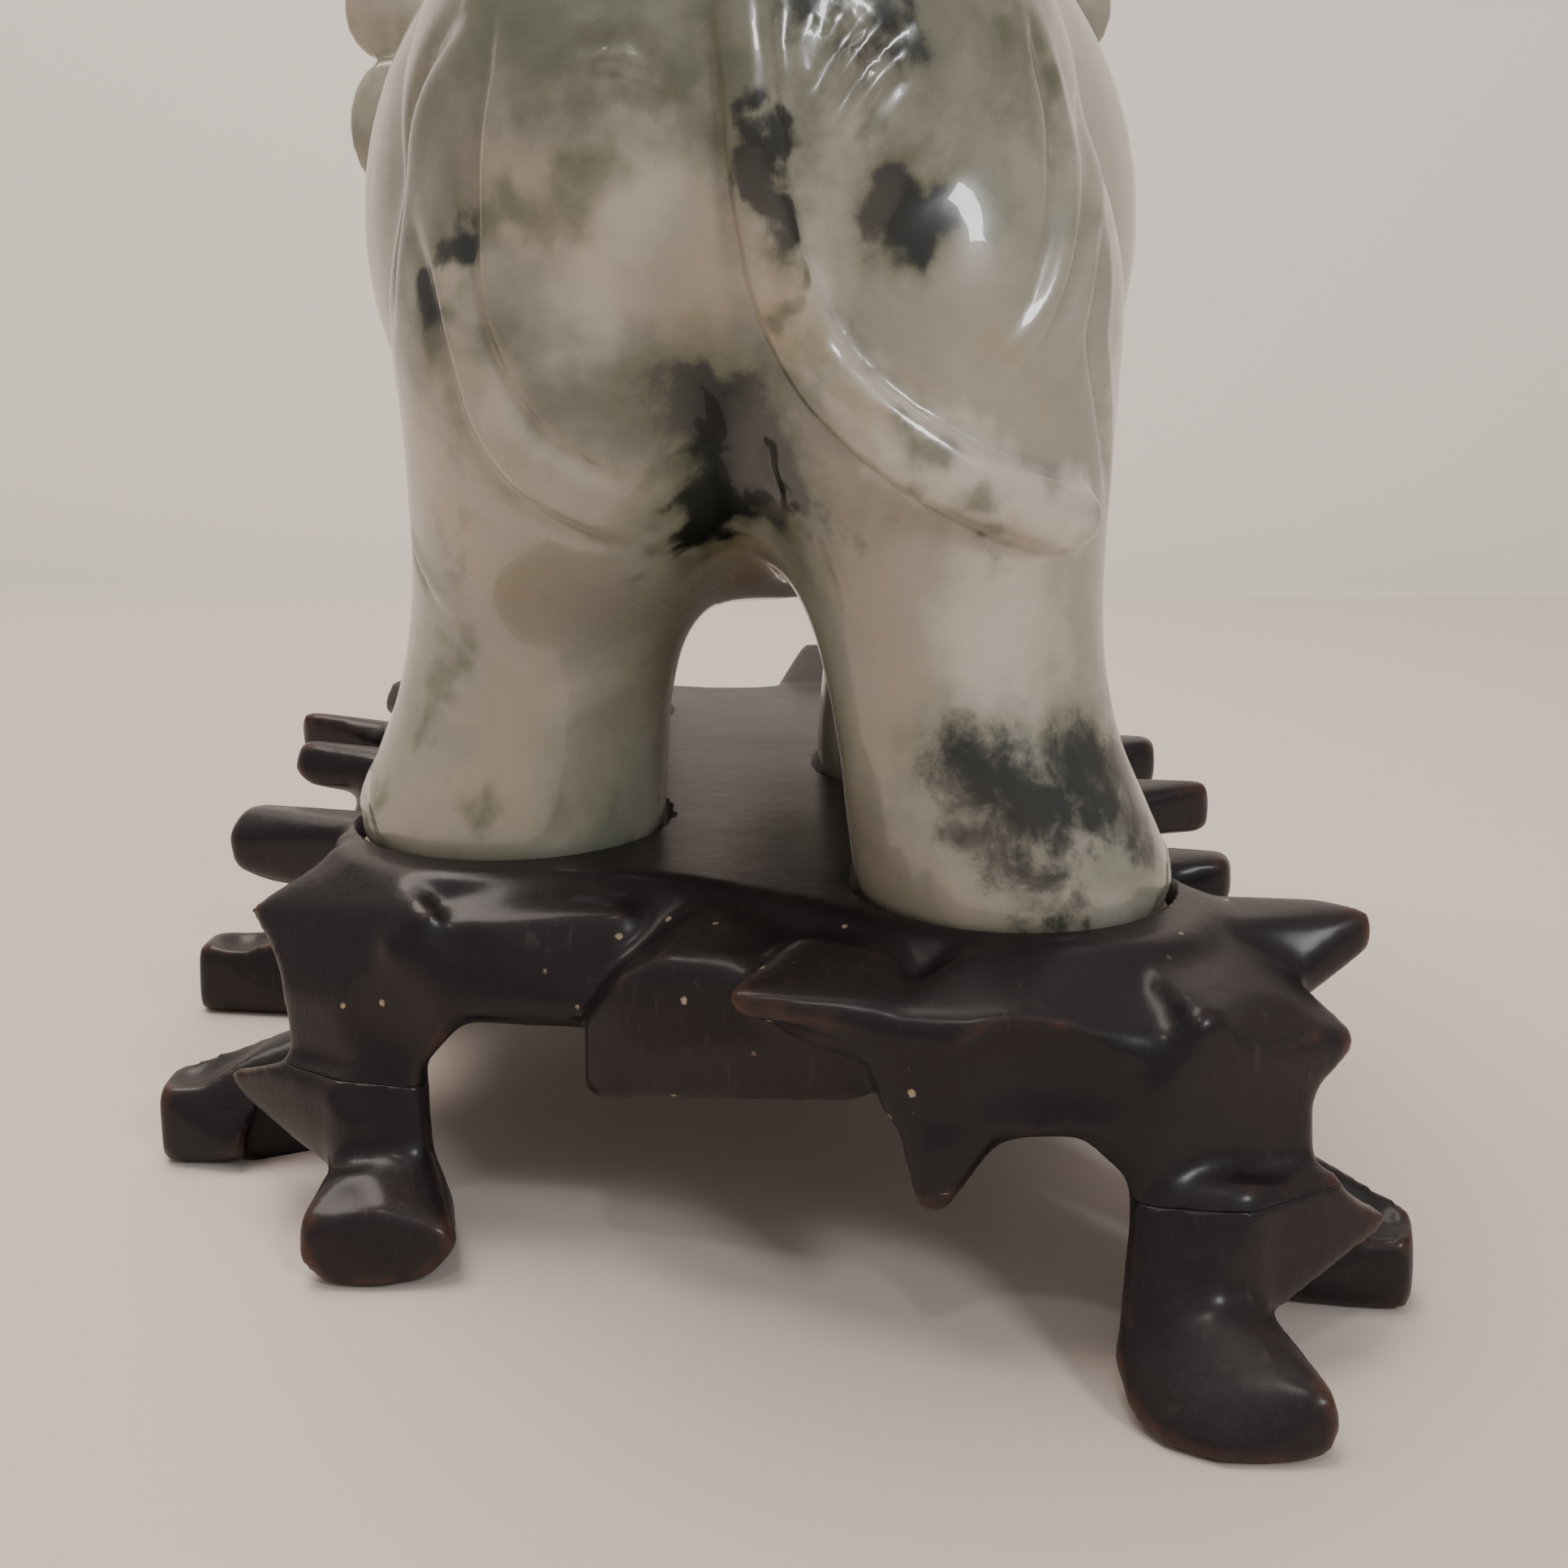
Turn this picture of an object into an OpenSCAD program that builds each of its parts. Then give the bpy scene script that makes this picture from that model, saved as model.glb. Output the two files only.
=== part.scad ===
/* [Figure] */
// Width of the elephant's barrel
barrel_w = 97; // [80:1:120]
// Length of the elephant's barrel
barrel_l = 100; // [90:1:112]
// Height of the back above the board
back_h = 119; // [108:1:130]
// Height of the belly above the board
belly_h = 25; // [20:1:30]
// Height of the hips above the board
hip_h = 63; // [56:1:72]
// Width across the two haunches
haunch_w = 80.5; // [70:1:92]
// Diameter of the front feet
fore_foot_d = 34; // [28:1:38]
// Diameter of the left hind foot
hind_left_foot_d = 39; // [32:1:42]
// Diameter of the right hind foot
hind_right_foot_d = 36; // [30:1:40]
// Share of a foot's diameter that its ankle keeps
ankle_share = 0.87; // [0.75:0.01:0.95]
// Half the span of the ears
ear_reach = 55; // [50:1:66]
// Thickness of an ear at its middle
ear_t = 8; // [6:0.5:11]
// Diameter of the trunk at its root
trunk_root_d = 25; // [20:1:28]
// Diameter of the trunk at its tip
trunk_tip_d = 9; // [7:0.5:12]
// Diameter of the tail at its root
tail_root_d = 4.8; // [4:0.2:7]
// Diameter of the tail at its tip
tail_tip_d = 6.8; // [5:0.2:9]

/* [Tusks] */
// Diameter of a tusk where it leaves the cheek
tusk_d = 6; // [4.5:0.5:7.5]
// Diameter of a tusk's point
tusk_tip_d = 2; // [1.5:0.1:3]
// Diameter of the tenon that is set in the cheek
tenon_d = 4; // [3:0.2:4.4]
// Length of the tenon
tenon_l = 6; // [4:0.5:8]
// Gap all round the tenon in its hole
tenon_gap = 0.1; // [0.05:0.05:0.3]

/* [Board] */
// Thickness of the board between the legs
board_t = 17; // [14:1:19]
// Height of the leg stubs that are carved under the board, down to the glue line
stub_h = 6; // [4:0.5:9]
// Depth of the sockets that the feet stand in
socket_depth = 3.6; // [2.5:0.1:5]
// Gap round a foot in its socket
socket_gap = 0.7; // [0.5:0.1:1.2]
// Wood that is left round a socket
socket_wall = 1.5; // [1:0.5:4]
// Thickness of the wax bed in a socket
wax_t = 0.5; // [0.4:0.1:0.8]
// Air between the wax bed and the foot
wax_gap = 0.1; // [0.1:0.05:0.3]
// Diameter of a branch end on the rim
knob_d = 7.5; // [6:0.5:10]
// Length of the branch ends
knob_l = 12; // [8:1:14]

/* [Legs] */
// Height of the leg blocks, up to the glue line
leg_h = 19; // [16:1:22]
// Diameter of a leg block at the glue line
leg_top_d = 16; // [13:0.5:20]
// Diameter of a leg block at its waist
leg_waist_d = 11; // [9:0.5:14]
// Diameter of a leg's foot pad
pad_d = 18; // [14:0.5:20]
// Diameter of a toe's end
toe_d = 9; // [7:0.5:11]
// Diameter of the peg between the board and a leg block
peg_d = 4; // [3:0.5:5]
// Length of a peg
peg_l = 12; // [9:1:16]
// Gap round a peg
peg_gap = 0.1; // [0.05:0.05:0.3]

/* [Hidden] */

jade = "#a9ac98";
ivory = "#d8d2bd";
lacquer = "#2b1a15";
wax = "#b9aa84";

// Feet on the board: middle, diameter, from hind left round to hind right
figure_x = -3;
hind_left = [31, 14];
fore_left = [32, -48];
fore_right = [-25, -14];
hind_right = [-29.3, 41];
FEET = [
    [hind_left, hind_left_foot_d],
    [fore_left, fore_foot_d],
    [fore_right, fore_foot_d],
    [hind_right, hind_right_foot_d]
];
sole_z = -socket_depth + wax_t + wax_gap;

// Eggs that make up the body, each as its middle and its radii
rump_top = back_h - 5;
rump_low = hip_h - 17;
hip_r = [22.5, 31, 30];
BARREL = [[0.6, -4, (back_h + belly_h) / 2], [barrel_w / 2, barrel_l / 2, (back_h - belly_h) / 2]];
RUMP = [[1, 30, (rump_top + rump_low) / 2], [haunch_w / 2 - 5, 35, (rump_top - rump_low) / 2]];
LEFT_HAUNCH = [[haunch_w / 2 - hip_r.x, 25, hip_h - 4], hip_r];
RIGHT_HAUNCH = [[hip_r.x - haunch_w / 2, 32, hip_h - 4], hip_r];
LEFT_CHEST = [[16, -32, hip_h + 3], [23, 23, 34]];
RIGHT_CHEST = [[-16, -28, hip_h + 3], [23, 23, 34]];

ankle_z = 0.25 * hip_h;
knee_z = 0.49 * hip_h;
thigh_z = hip_h - 11;
head_at = [3, -52, back_h - 22];
tusk_root = [trunk_root_d / 2 - 3.5, -20, -23];

// Places of the tail: across, and above the hips; its root comes first
TAIL = [[1, 28], [0.4, 21], [-1.2, 12], [-3.1, 5], [-6.8, -7], [-13.6, -12], [-21.1, -16.4], [-29.3, -18.8]];

board_top = leg_h + stub_h + board_t;

// Legs of the stand: glue line middle, foot middle, toe end, side spike
LEGS = [
    [[42, 39], [42, 46], [41, 52], [60, 29]],
    [[-46, 69], [-48, 78.5], [-56, 83], [-69, 63]],
    [[53, 15], [59, 21], [68.5, 24], [64, 9]],
    [[-55, 48], [-62, 53], [-73, 58], [-66, 42]],
    [[54, -26], [66, -27], [79, -27], [64, -12]],
    [[-54, -13], [-66, -13], [-79, -14], [-64, -26]],
    [[34, -62], [36, -72], [38, -84.5], [20, -72]],
    [[-34, -62], [-36, -72], [-38, -84.5], [-20, -72]]
];

// Rim of the board, rear left first, going forward round the board
RIM = [
    [48, 39], [54, 26], [50, 10], [51, -8], [52, -24], [56, -38], [52, -54], [53, -68],
    [34, -72], [18, -76], [2, -72], [-13, -77], [-32, -71], [-49, -66], [-46, -46], [-51, -30],
    [-47, -16], [-51, -3], [-46, 12], [-48, 28], [-49, 40], [-58, 49], [-57, 66], [-45, 77],
    [-28, 77], [-13, 69], [0, 61], [17, 51], [33, 46]
];

// Branch ends: where each starts, which way it points, and its rise over its length
KNOBS = [
    [[49, 15], -5, 0], [[50, -22], -5, 0], [[55, -41], -10, 1], [[50, -68], -35, 1],
    [[18, -70], -80, 0], [[-12, -71], -95, 5], [[-45, -66], 215, 1], [[-46, -32], 190, 0],
    [[-47, -3], 180, 1], [[-42, 29], 175, 0], [[-56, 48], 175, 1]
];
knob_z = board_top - knob_d / 2 - 0.5;

// Points of a closed smooth curve through the given points
curve_steps = 4;
function pick(list, i) = list[(i + len(list)) % len(list)];
function along(a, b, c, d, t) = 0.5 * (2 * b + (c - a) * t + (2 * a - 5 * b + 4 * c - d) * t * t
    + (3 * b - a - 3 * c + d) * t * t * t);
function smooth_ring(list) = [
    for (i = [0 : len(list) - 1], s = [0 : curve_steps - 1])
        along(pick(list, i - 1), list[i], pick(list, i + 1), pick(list, i + 2), s / curve_steps)
];

// An ellipsoid at a place
module egg(at, r, fn = 24) {
    translate(at) scale(r) sphere(r = 1, $fn = fn);
}

// A limb through places, each with its own radius
module limb(places, radii, fn = 20) {
    for (i = [0 : len(places) - 2])
        hull() {
            translate(places[i]) sphere(r = radii[i], $fn = fn);
            translate(places[i + 1]) sphere(r = radii[i + 1], $fn = fn);
        }
}

// One elephant leg: flat sole, foot, ankle, knee and thigh
module elephant_leg(foot, foot_d, ankle, knee, thigh, thigh_r) {
    foot_r = foot_d / 2;
    ankle_r = foot_r * ankle_share;
    disc = 1;
    sole_edge = 0.8;
    module ankle_disc() {
        translate([ankle.x, ankle.y, ankle_z]) cylinder(r = ankle_r, h = disc, $fn = 32);
    }
    module knee_disc() {
        translate([knee.x, knee.y, knee_z]) cylinder(r = ankle_r + 0.5, h = disc, $fn = 32);
    }
    hull() {
        translate([foot.x, foot.y, sole_z]) cylinder(r = foot_r - sole_edge, h = disc, $fn = 32);
        translate([foot.x, foot.y, 0]) cylinder(r = foot_r, h = 3 * disc, $fn = 32);
        ankle_disc();
    }
    hull() {
        ankle_disc();
        knee_disc();
    }
    hull() {
        knee_disc();
        egg([thigh.x, thigh.y, thigh_z], thigh_r);
    }
}

module torso() {
    egg(BARREL[0], BARREL[1], 32);
    for (part = [RUMP, LEFT_HAUNCH, RIGHT_HAUNCH, LEFT_CHEST, RIGHT_CHEST])
        egg(part[0], part[1]);
}

module head() {
    translate(head_at) {
        egg([0, 0, 0], [26, 26, 27]);
        egg([9, 3, 16], [13, 15, 12]);
        egg([-9, 3, 16], [13, 15, 12]);
        egg([0, -12, -25], [8, 9, 6], 16);
        for (side = [1, -1])
            hull() {
                egg([side * 20, 6, 2], [6, ear_t / 2, 18], 16);
                egg([side * (ear_reach - 9), 14, 10], [9, ear_t / 2 - 1, 14], 16);
                egg([side * (ear_reach - 7), 17, -6], [7, ear_t / 2 - 1, 13], 16);
            }
    }
}

// The trunk hangs from the head and curls up at its tip
module trunk() {
    root = head_at + [0, -19, -10];
    lowest = 26;
    drop = root.z - lowest;
    places = [
        root, root + [0, -7, -0.22 * drop], root + [-1, -8, -0.45 * drop], root + [-2, -7, -0.68 * drop],
        root + [-4, -3, -0.88 * drop], root + [-6, 5, -drop], root + [-8, 12, -0.98 * drop],
        root + [-10, 16, -0.86 * drop]
    ];
    last = len(places) - 1;
    radii = [for (i = [0 : last]) (trunk_root_d + (trunk_tip_d - trunk_root_d) * pow(i / last, 0.8)) / 2];
    limb(places, radii, 16);
}

// How far back an egg reaches at a place across it and up it
function back_of(egg, x, z) = egg[0].y
    + egg[1].y * sqrt(max(0, 1 - pow((x - egg[0].x) / egg[1].x, 2) - pow((z - egg[0].z) / egg[1].z, 2)));

// The tail lies along the rump and the right haunch, half sunk in them
module tail() {
    proud = 0.8;
    last = len(TAIL) - 1;
    places = [
        for (place = TAIL) let (z = hip_h + place[1])
            [place.x, max(back_of(RUMP, place.x, z), back_of(RIGHT_HAUNCH, place.x, z)) + proud, z]
    ];
    radii = [for (i = [0 : last]) (tail_root_d + (tail_tip_d - tail_root_d) * i / last) / 2];
    limb(places, radii, 12);
}

// Place of a tusk's root, and the way that its tenon points into the cheek
module at_tusk(side) {
    translate([figure_x, 0, board_top] + head_at + [side * tusk_root.x, tusk_root.y, tusk_root.z])
        rotate([80, 0, side * 14]) children();
}

module jade_elephant() {
    color(jade) difference() {
        translate([figure_x, 0, board_top]) {
            torso();
            head();
            trunk();
            tail();
            elephant_leg(hind_left, hind_left_foot_d, [27.4, 16], [23.9, 18], [20, 21], [20, 24, 20]);
            elephant_leg(hind_right, hind_right_foot_d, [-25, 42], [-23, 38], [-20, 32], [20, 27, 20]);
            elephant_leg(fore_left, fore_foot_d, [31, -46], [29, -42], [21, -36], [18, 20, 18]);
            elephant_leg(fore_right, fore_foot_d, [-24, -16], [-25, -19], [-21, -26], [18, 20, 18]);
        }
        for (side = [1, -1])
            at_tusk(side) {
                translate([0, 0, -tenon_l - tenon_gap])
                    cylinder(d = tenon_d + 2 * tenon_gap, h = tenon_l + 2, $fn = 24);
                tusk_horn(tenon_gap);
            }
    }
}

// The curved horn of a tusk, grown by a gap all round where the cheek is cut to seat it
module tusk_horn(gap) {
    bend = [0, 0.5, 7];
    bend_d = tusk_d * 0.75;
    hull() {
        translate([0, 0, 1]) sphere(d = tusk_d + 2 * gap, $fn = 20);
        translate(bend) sphere(d = bend_d + 2 * gap, $fn = 20);
    }
    hull() {
        translate(bend) sphere(d = bend_d + 2 * gap, $fn = 20);
        translate([0, 3.5, 12]) sphere(d = tusk_tip_d + 2 * gap, $fn = 20);
    }
}

module tusk(side) {
    color(ivory) at_tusk(side) {
        translate([0, 0, -tenon_l]) cylinder(d = tenon_d, h = tenon_l + 2, $fn = 24);
        tusk_horn(0);
    }
}
module tusk_left() { tusk(1); }
module tusk_right() { tusk(-1); }

// Cylinders at the four feet
module at_feet(z, h, gap) {
    for (foot = FEET)
        translate([figure_x + foot[0].x, foot[0].y, z]) cylinder(d = foot[1] + 2 * gap, h = h, $fn = 64);
}

// Peg places: one in the middle of each glue line
module pegs(gap) {
    for (leg = LEGS)
        translate([leg[0].x, leg[0].y, leg_h - peg_l / 2 - gap])
            cylinder(d = peg_d + 2 * gap, h = peg_l + 2 * gap, $fn = 32);
}

// The board in layers: a full one, and a slightly smaller one above and below it
module stand_board() {
    bottom = board_top - board_t;
    ring = smooth_ring(RIM);
    edge = 3;
    lap = 0.01;
    top_share = 0.965;
    bottom_share = 0.94;
    color(lacquer) difference() {
        union() {
            translate([0, 0, bottom + edge]) linear_extrude(board_t - 2 * edge) polygon(ring);
            translate([0, 0, board_top - edge - lap]) linear_extrude(edge + lap) polygon(top_share * ring);
            translate([0, 0, bottom]) linear_extrude(edge + lap) polygon(bottom_share * ring);
            at_feet(bottom + edge, board_t - edge - 0.8, socket_gap + socket_wall);
            for (knob = KNOBS)
                translate([knob[0].x, knob[0].y, knob_z]) rotate([0, 90 - atan(knob[2] / knob_l), knob[1]]) {
                    cylinder(d1 = knob_d + 4, d2 = knob_d, h = knob_l, $fn = 32);
                    translate([0, 0, knob_l]) sphere(d = knob_d, $fn = 32);
                }
            for (leg = LEGS)
                translate([leg[0].x, leg[0].y, leg_h])
                    cylinder(d1 = leg_top_d, d2 = leg_top_d + 5, h = stub_h + board_t / 2, $fn = 48);
            // drip and lobe under the rear rim
            translate([-21.5, 70, bottom - 6]) cylinder(d1 = 4, d2 = 15, h = 14, $fn = 32);
            translate([14, 51, bottom - 4]) cylinder(d1 = 5, d2 = 12, h = 12, $fn = 32);
        }
        at_feet(board_top - socket_depth, 2 * socket_depth, socket_gap);
        pegs(peg_gap);
    }
}

module setting_wax() {
    color(wax) at_feet(board_top - socket_depth, wax_t, 0);
}

module leg_pegs() {
    color("#8a6a4a") pegs(0);
}

// A leg block: waist, foot pad, curled toe and a side spike, flat at the ground and the glue line
module stand_leg(i) {
    leg = LEGS[i];
    seam = leg[0];
    pad = leg[1];
    toe = leg[2];
    spike = leg[3];
    waist = (seam + pad) / 2;
    waist_z = leg_h * 0.58;
    spike_z = leg_h - 2;
    spike_tip_d = 2.5;
    reach = 100;
    color(lacquer) difference() {
        intersection() {
            translate([-reach, -reach, 0]) cube([2 * reach, 2 * reach, leg_h]);
            union() {
                hull() {
                    translate([seam.x, seam.y, leg_h]) sphere(d = leg_top_d, $fn = 20);
                    translate([waist.x, waist.y, waist_z]) sphere(d = leg_waist_d, $fn = 20);
                }
                hull() {
                    translate([waist.x, waist.y, waist_z]) sphere(d = leg_waist_d, $fn = 20);
                    translate([pad.x, pad.y, 2]) scale([1, 1, 0.5]) sphere(d = pad_d, $fn = 20);
                }
                hull() {
                    translate([pad.x, pad.y, 3]) sphere(d = pad_d * 0.7, $fn = 20);
                    translate([toe.x, toe.y, toe_d / 2]) sphere(d = toe_d, $fn = 20);
                }
                hull() {
                    translate([seam.x, seam.y, spike_z]) sphere(d = leg_waist_d - 2, $fn = 16);
                    translate([spike.x, spike.y, spike_z]) sphere(d = spike_tip_d, $fn = 16);
                }
            }
        }
        pegs(peg_gap);
    }
}
module stand_leg_rear_left() { stand_leg(0); }
module stand_leg_rear_right() { stand_leg(1); }
module stand_leg_side_rear_left() { stand_leg(2); }
module stand_leg_side_rear_right() { stand_leg(3); }
module stand_leg_side_front_left() { stand_leg(4); }
module stand_leg_side_front_right() { stand_leg(5); }
module stand_leg_front_left() { stand_leg(6); }
module stand_leg_front_right() { stand_leg(7); }

jade_elephant();
tusk_left();
tusk_right();
stand_board();
setting_wax();
leg_pegs();
stand_leg_rear_left();
stand_leg_rear_right();
stand_leg_side_rear_left();
stand_leg_side_rear_right();
stand_leg_side_front_left();
stand_leg_side_front_right();
stand_leg_front_left();
stand_leg_front_right();
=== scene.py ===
"""A jade elephant on a carved, lacquered root-form stand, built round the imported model."""

import math

import bmesh
import bpy
import numpy as np
from mathutils import Matrix, Vector
from mathutils.bvhtree import BVHTree


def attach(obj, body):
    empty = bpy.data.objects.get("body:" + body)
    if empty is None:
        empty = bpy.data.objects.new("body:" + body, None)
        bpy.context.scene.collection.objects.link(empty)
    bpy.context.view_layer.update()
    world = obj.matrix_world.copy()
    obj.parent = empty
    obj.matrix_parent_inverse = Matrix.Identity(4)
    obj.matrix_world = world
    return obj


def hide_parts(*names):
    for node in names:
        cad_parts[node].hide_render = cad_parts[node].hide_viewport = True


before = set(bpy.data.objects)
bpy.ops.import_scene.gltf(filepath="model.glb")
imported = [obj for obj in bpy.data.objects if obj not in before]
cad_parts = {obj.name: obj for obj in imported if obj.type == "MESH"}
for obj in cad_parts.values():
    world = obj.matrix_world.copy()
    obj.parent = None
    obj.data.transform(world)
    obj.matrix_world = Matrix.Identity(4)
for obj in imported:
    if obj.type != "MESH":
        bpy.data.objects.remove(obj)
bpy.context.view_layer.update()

MM = 0.001
BOARD_TOP = 42.0
LEG_H = 19.0
SOCKET_DEPTH = 3.6
SOCKET_GAP = 0.7
SOLE_Z = -3.0
SOFTEN_STEP = 0.6
FIGURE_X = -3.0

# Feet on the board, relative to the figure: middle, radius
HIND_LEFT = ((31.0, 14.0), 19.5)
FORE_LEFT = ((32.0, -48.0), 17.0)
FORE_RIGHT = ((-25.0, -14.0), 17.0)
HIND_RIGHT = ((-29.3, 41.0), 18.0)
FEET = (HIND_LEFT, FORE_LEFT, FORE_RIGHT, HIND_RIGHT)


# ---------------------------------------------------------------- shaping

def point(x, y, z):
    return Vector((x, y, z)) * MM


def curve_through(places, steps=8):
    """Points of a smooth open curve through the places, as an array in millimetres."""
    knots = [np.array(p, float) for p in places]
    knots = [2 * knots[0] - knots[1]] + knots + [2 * knots[-1] - knots[-2]]
    points = []
    for a, b, c, d in zip(knots, knots[1:], knots[2:], knots[3:]):
        for t in np.arange(steps) / steps:
            points.append(0.5 * (2 * b + (c - a) * t + (2 * a - 5 * b + 4 * c - d) * t * t
                                 + (3 * b - a - 3 * c + d) * t ** 3))
    points.append(knots[-2])
    return np.array(points)


def in_scene(name, data):
    obj = bpy.data.objects.new(name, data)
    bpy.context.scene.collection.objects.link(obj)
    return obj


def object_of(bm, name):
    mesh = bpy.data.meshes.new(name)
    bm.to_mesh(mesh)
    bm.free()
    return in_scene(name, mesh)


class Clay:
    """Overlapping closed shells in millimetres, which become one skin."""

    def __init__(self, shift=(0, 0, 0)):
        self.bm = bmesh.new()
        self.shift = Vector(shift)

    def egg(self, at, radii, into=None):
        if isinstance(radii, (int, float)):
            radii = (radii, radii, radii)
        place = Matrix.LocRotScale((Vector(at) + self.shift) * MM, None, Vector(radii) * MM)
        bmesh.ops.create_uvsphere(into or self.bm, u_segments=40, v_segments=24, radius=1, matrix=place)

    def disc(self, at, radius, height, into=None):
        middle = Vector(at) + self.shift + Vector((0, 0, height / 2))
        bmesh.ops.create_cone(into or self.bm, cap_ends=True, segments=64, radius1=radius * MM,
                              radius2=radius * MM, depth=height * MM,
                              matrix=Matrix.Translation(middle * MM))

    def hull(self, *parts):
        """One convex shell round eggs (place, radii) and discs (place, radius, height)."""
        shell = bmesh.new()
        for part in parts:
            if len(part) == 3:
                self.disc(*part, into=shell)
            else:
                self.egg(*part, into=shell)
        found = bmesh.ops.convex_hull(shell, input=shell.verts)
        inner = {v for v in found["geom_interior"] if isinstance(v, bmesh.types.BMVert)}
        inner |= {v for v in shell.verts if not v.link_faces}
        bmesh.ops.delete(shell, geom=list(inner), context="VERTS")
        spare = bpy.data.meshes.new("spare")
        shell.to_mesh(spare)
        shell.free()
        self.bm.from_mesh(spare)
        bpy.data.meshes.remove(spare)

    def limb(self, places, radii):
        for i in range(len(places) - 1):
            self.hull((places[i], radii[i]), (places[i + 1], radii[i + 1]))

    def object(self, name):
        return object_of(self.bm, name)


def settle(obj):
    """Applies the object's modifiers to its mesh."""
    shown = obj.evaluated_get(bpy.context.evaluated_depsgraph_get())
    mesh = bpy.data.meshes.new_from_object(shown)
    spare = obj.data
    obj.modifiers.clear()
    obj.data = mesh
    bpy.data.meshes.remove(spare)
    mesh.name = obj.name


def fuse(obj, voxel):
    """Makes one skin of the overlapping shells, with faces of about one voxel."""
    step = obj.modifiers.new("fuse", "REMESH")
    step.mode = "VOXEL"
    step.voxel_size = voxel * MM
    settle(obj)


def relax(obj, rounds):
    """Smooths the skin all over."""
    step = obj.modifiers.new("relax", "SMOOTH")
    step.factor = 0.5
    step.iterations = rounds
    settle(obj)


def links(obj):
    """The corners at both ends of every edge, and how many edges each corner has."""
    ends = np.empty(len(obj.data.edges) * 2, int)
    obj.data.edges.foreach_get("vertices", ends)
    one, other = ends.reshape(-1, 2).T
    return one, other, np.bincount(ends, minlength=len(obj.data.vertices))


def mean_around(values, linked):
    """The mean of each corner's neighbours, for values with one row to a corner."""
    one, other, count = linked
    total = np.stack([np.bincount(one, v[other], len(count)) + np.bincount(other, v[one], len(count))
                      for v in values.T], axis=1)
    return total / count[:, None]


def soften(obj, height, reach, rounds):
    """Relaxes the skin round one height much more than elsewhere, so that a step there flows out."""
    places, _ = corners(obj)
    linked = links(obj)
    share = SOFTEN_STEP * np.exp(-((places[:, 2] - height) / reach) ** 2)[:, None]
    for _ in range(rounds):
        places += share * (mean_around(places, linked) - places)
    place_corners(obj, places)


def thin_out(obj, share):
    """Leaves this share of the faces, fewest where the skin is flat."""
    step = obj.modifiers.new("thin", "DECIMATE")
    step.ratio = share
    settle(obj)


def corners(obj):
    """Vertex places in millimetres and unit normals, as arrays."""
    count = len(obj.data.vertices)
    places = np.empty(count * 3)
    normals = np.empty(count * 3)
    obj.data.vertices.foreach_get("co", places)
    obj.data.vertices.foreach_get("normal", normals)
    return places.reshape(-1, 3) / MM, normals.reshape(-1, 3)


def place_corners(obj, places):
    obj.data.vertices.foreach_set("co", (places * MM).ravel())
    obj.data.update()


def along(places, a, b):
    """How far along the line from a to b each place is, from 0 to 1, and the point of it there."""
    run = b - a
    t = np.clip((places - a) @ run / (run @ run), 0, 1)
    return t, a + t[:, None] * run


def measure(places, path):
    """Each place's distance to the path, its nearest path point's index and the offset from it."""
    best = np.full(len(places), 1e9)
    where = np.zeros(len(places), int)
    offset = np.zeros((len(places), 3))
    for i, (a, b) in enumerate(zip(path, path[1:])):
        away = places - along(places, a, b)[1]
        far = np.linalg.norm(away, axis=1)
        closer = far < best
        best[closer] = far[closer]
        where[closer] = i
        offset[closer] = away[closer]
    return best, where, offset


def crease(obj, path, depth, width, lip=0.0, fade=0.25):
    """Cuts a groove along the path, with a raised lip on its left side, fading at both ends."""
    places, normals = corners(obj)
    path = curve_through(path)
    reach = 4 * width
    low, high = path.min(0) - reach, path.max(0) + reach
    near = np.flatnonzero(((places > low) & (places < high)).all(1))
    if not len(near):
        return
    far, where, offset = measure(places[near], path)
    run = np.gradient(path, axis=0)[where]
    side = np.einsum("ij,ij->i", np.cross(normals[near], run), offset)
    side = np.sign(side) * far
    ends = where / (len(path) - 1)
    taper = np.clip(np.minimum(ends, 1 - ends) / fade, 0, 1) ** 0.7
    cut = -depth * np.exp(-(side / width) ** 2)
    raised = lip * np.exp(-((side - 1.8 * width) / (1.6 * width)) ** 2)
    places[near] += normals[near] * (taper * (cut + raised))[:, None]
    place_corners(obj, places)


# ---------------------------------------------------------------- materials

class Shade:
    """A socket of a node tree, with Python's operators for its maths."""

    def __init__(self, tree, socket=None):
        self.tree = tree
        self.socket = socket

    def add(self, kind, out=0, settings=(), **inputs):
        """Adds a node, sets its settings first and then its sockets, and gives one of its outputs."""
        node = self.tree.nodes.new(kind)
        for name, value in dict(settings).items():
            setattr(node, name, value)
        for name, value in inputs.items():
            key = int(name[1:]) if name[0] == "_" else name.replace("_", " ")
            if isinstance(value, Shade):
                self.tree.links.new(value.socket, node.inputs[key])
            else:
                node.inputs[key].default_value = value
        return Shade(self.tree, node.outputs[out])

    def maths(self, operation, a, b=0.0):
        return self.add("ShaderNodeMath", settings={"operation": operation}, _0=a, _1=b)

    def __add__(self, other):
        return self.maths("ADD", self, other)

    def __sub__(self, other):
        return self.maths("SUBTRACT", self, other)

    def __rsub__(self, other):
        return self.maths("SUBTRACT", other, self)

    def __mul__(self, other):
        return self.maths("MULTIPLY", self, other)

    __radd__ = __add__
    __rmul__ = __mul__

    def ramp(self, low, high):
        """0 below low, 1 above high, smooth between."""
        return self.add("ShaderNodeMapRange", settings={"interpolation_type": "SMOOTHSTEP"},
                        Value=self, From_Min=low, From_Max=high)

    def mix(self, under, over):
        """The colour under, covered by the colour over as far as this mask says."""
        return self.add("ShaderNodeMix", out=2, settings={"data_type": "RGBA"}, _0=self, _6=under,
                        _7=over)


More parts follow.
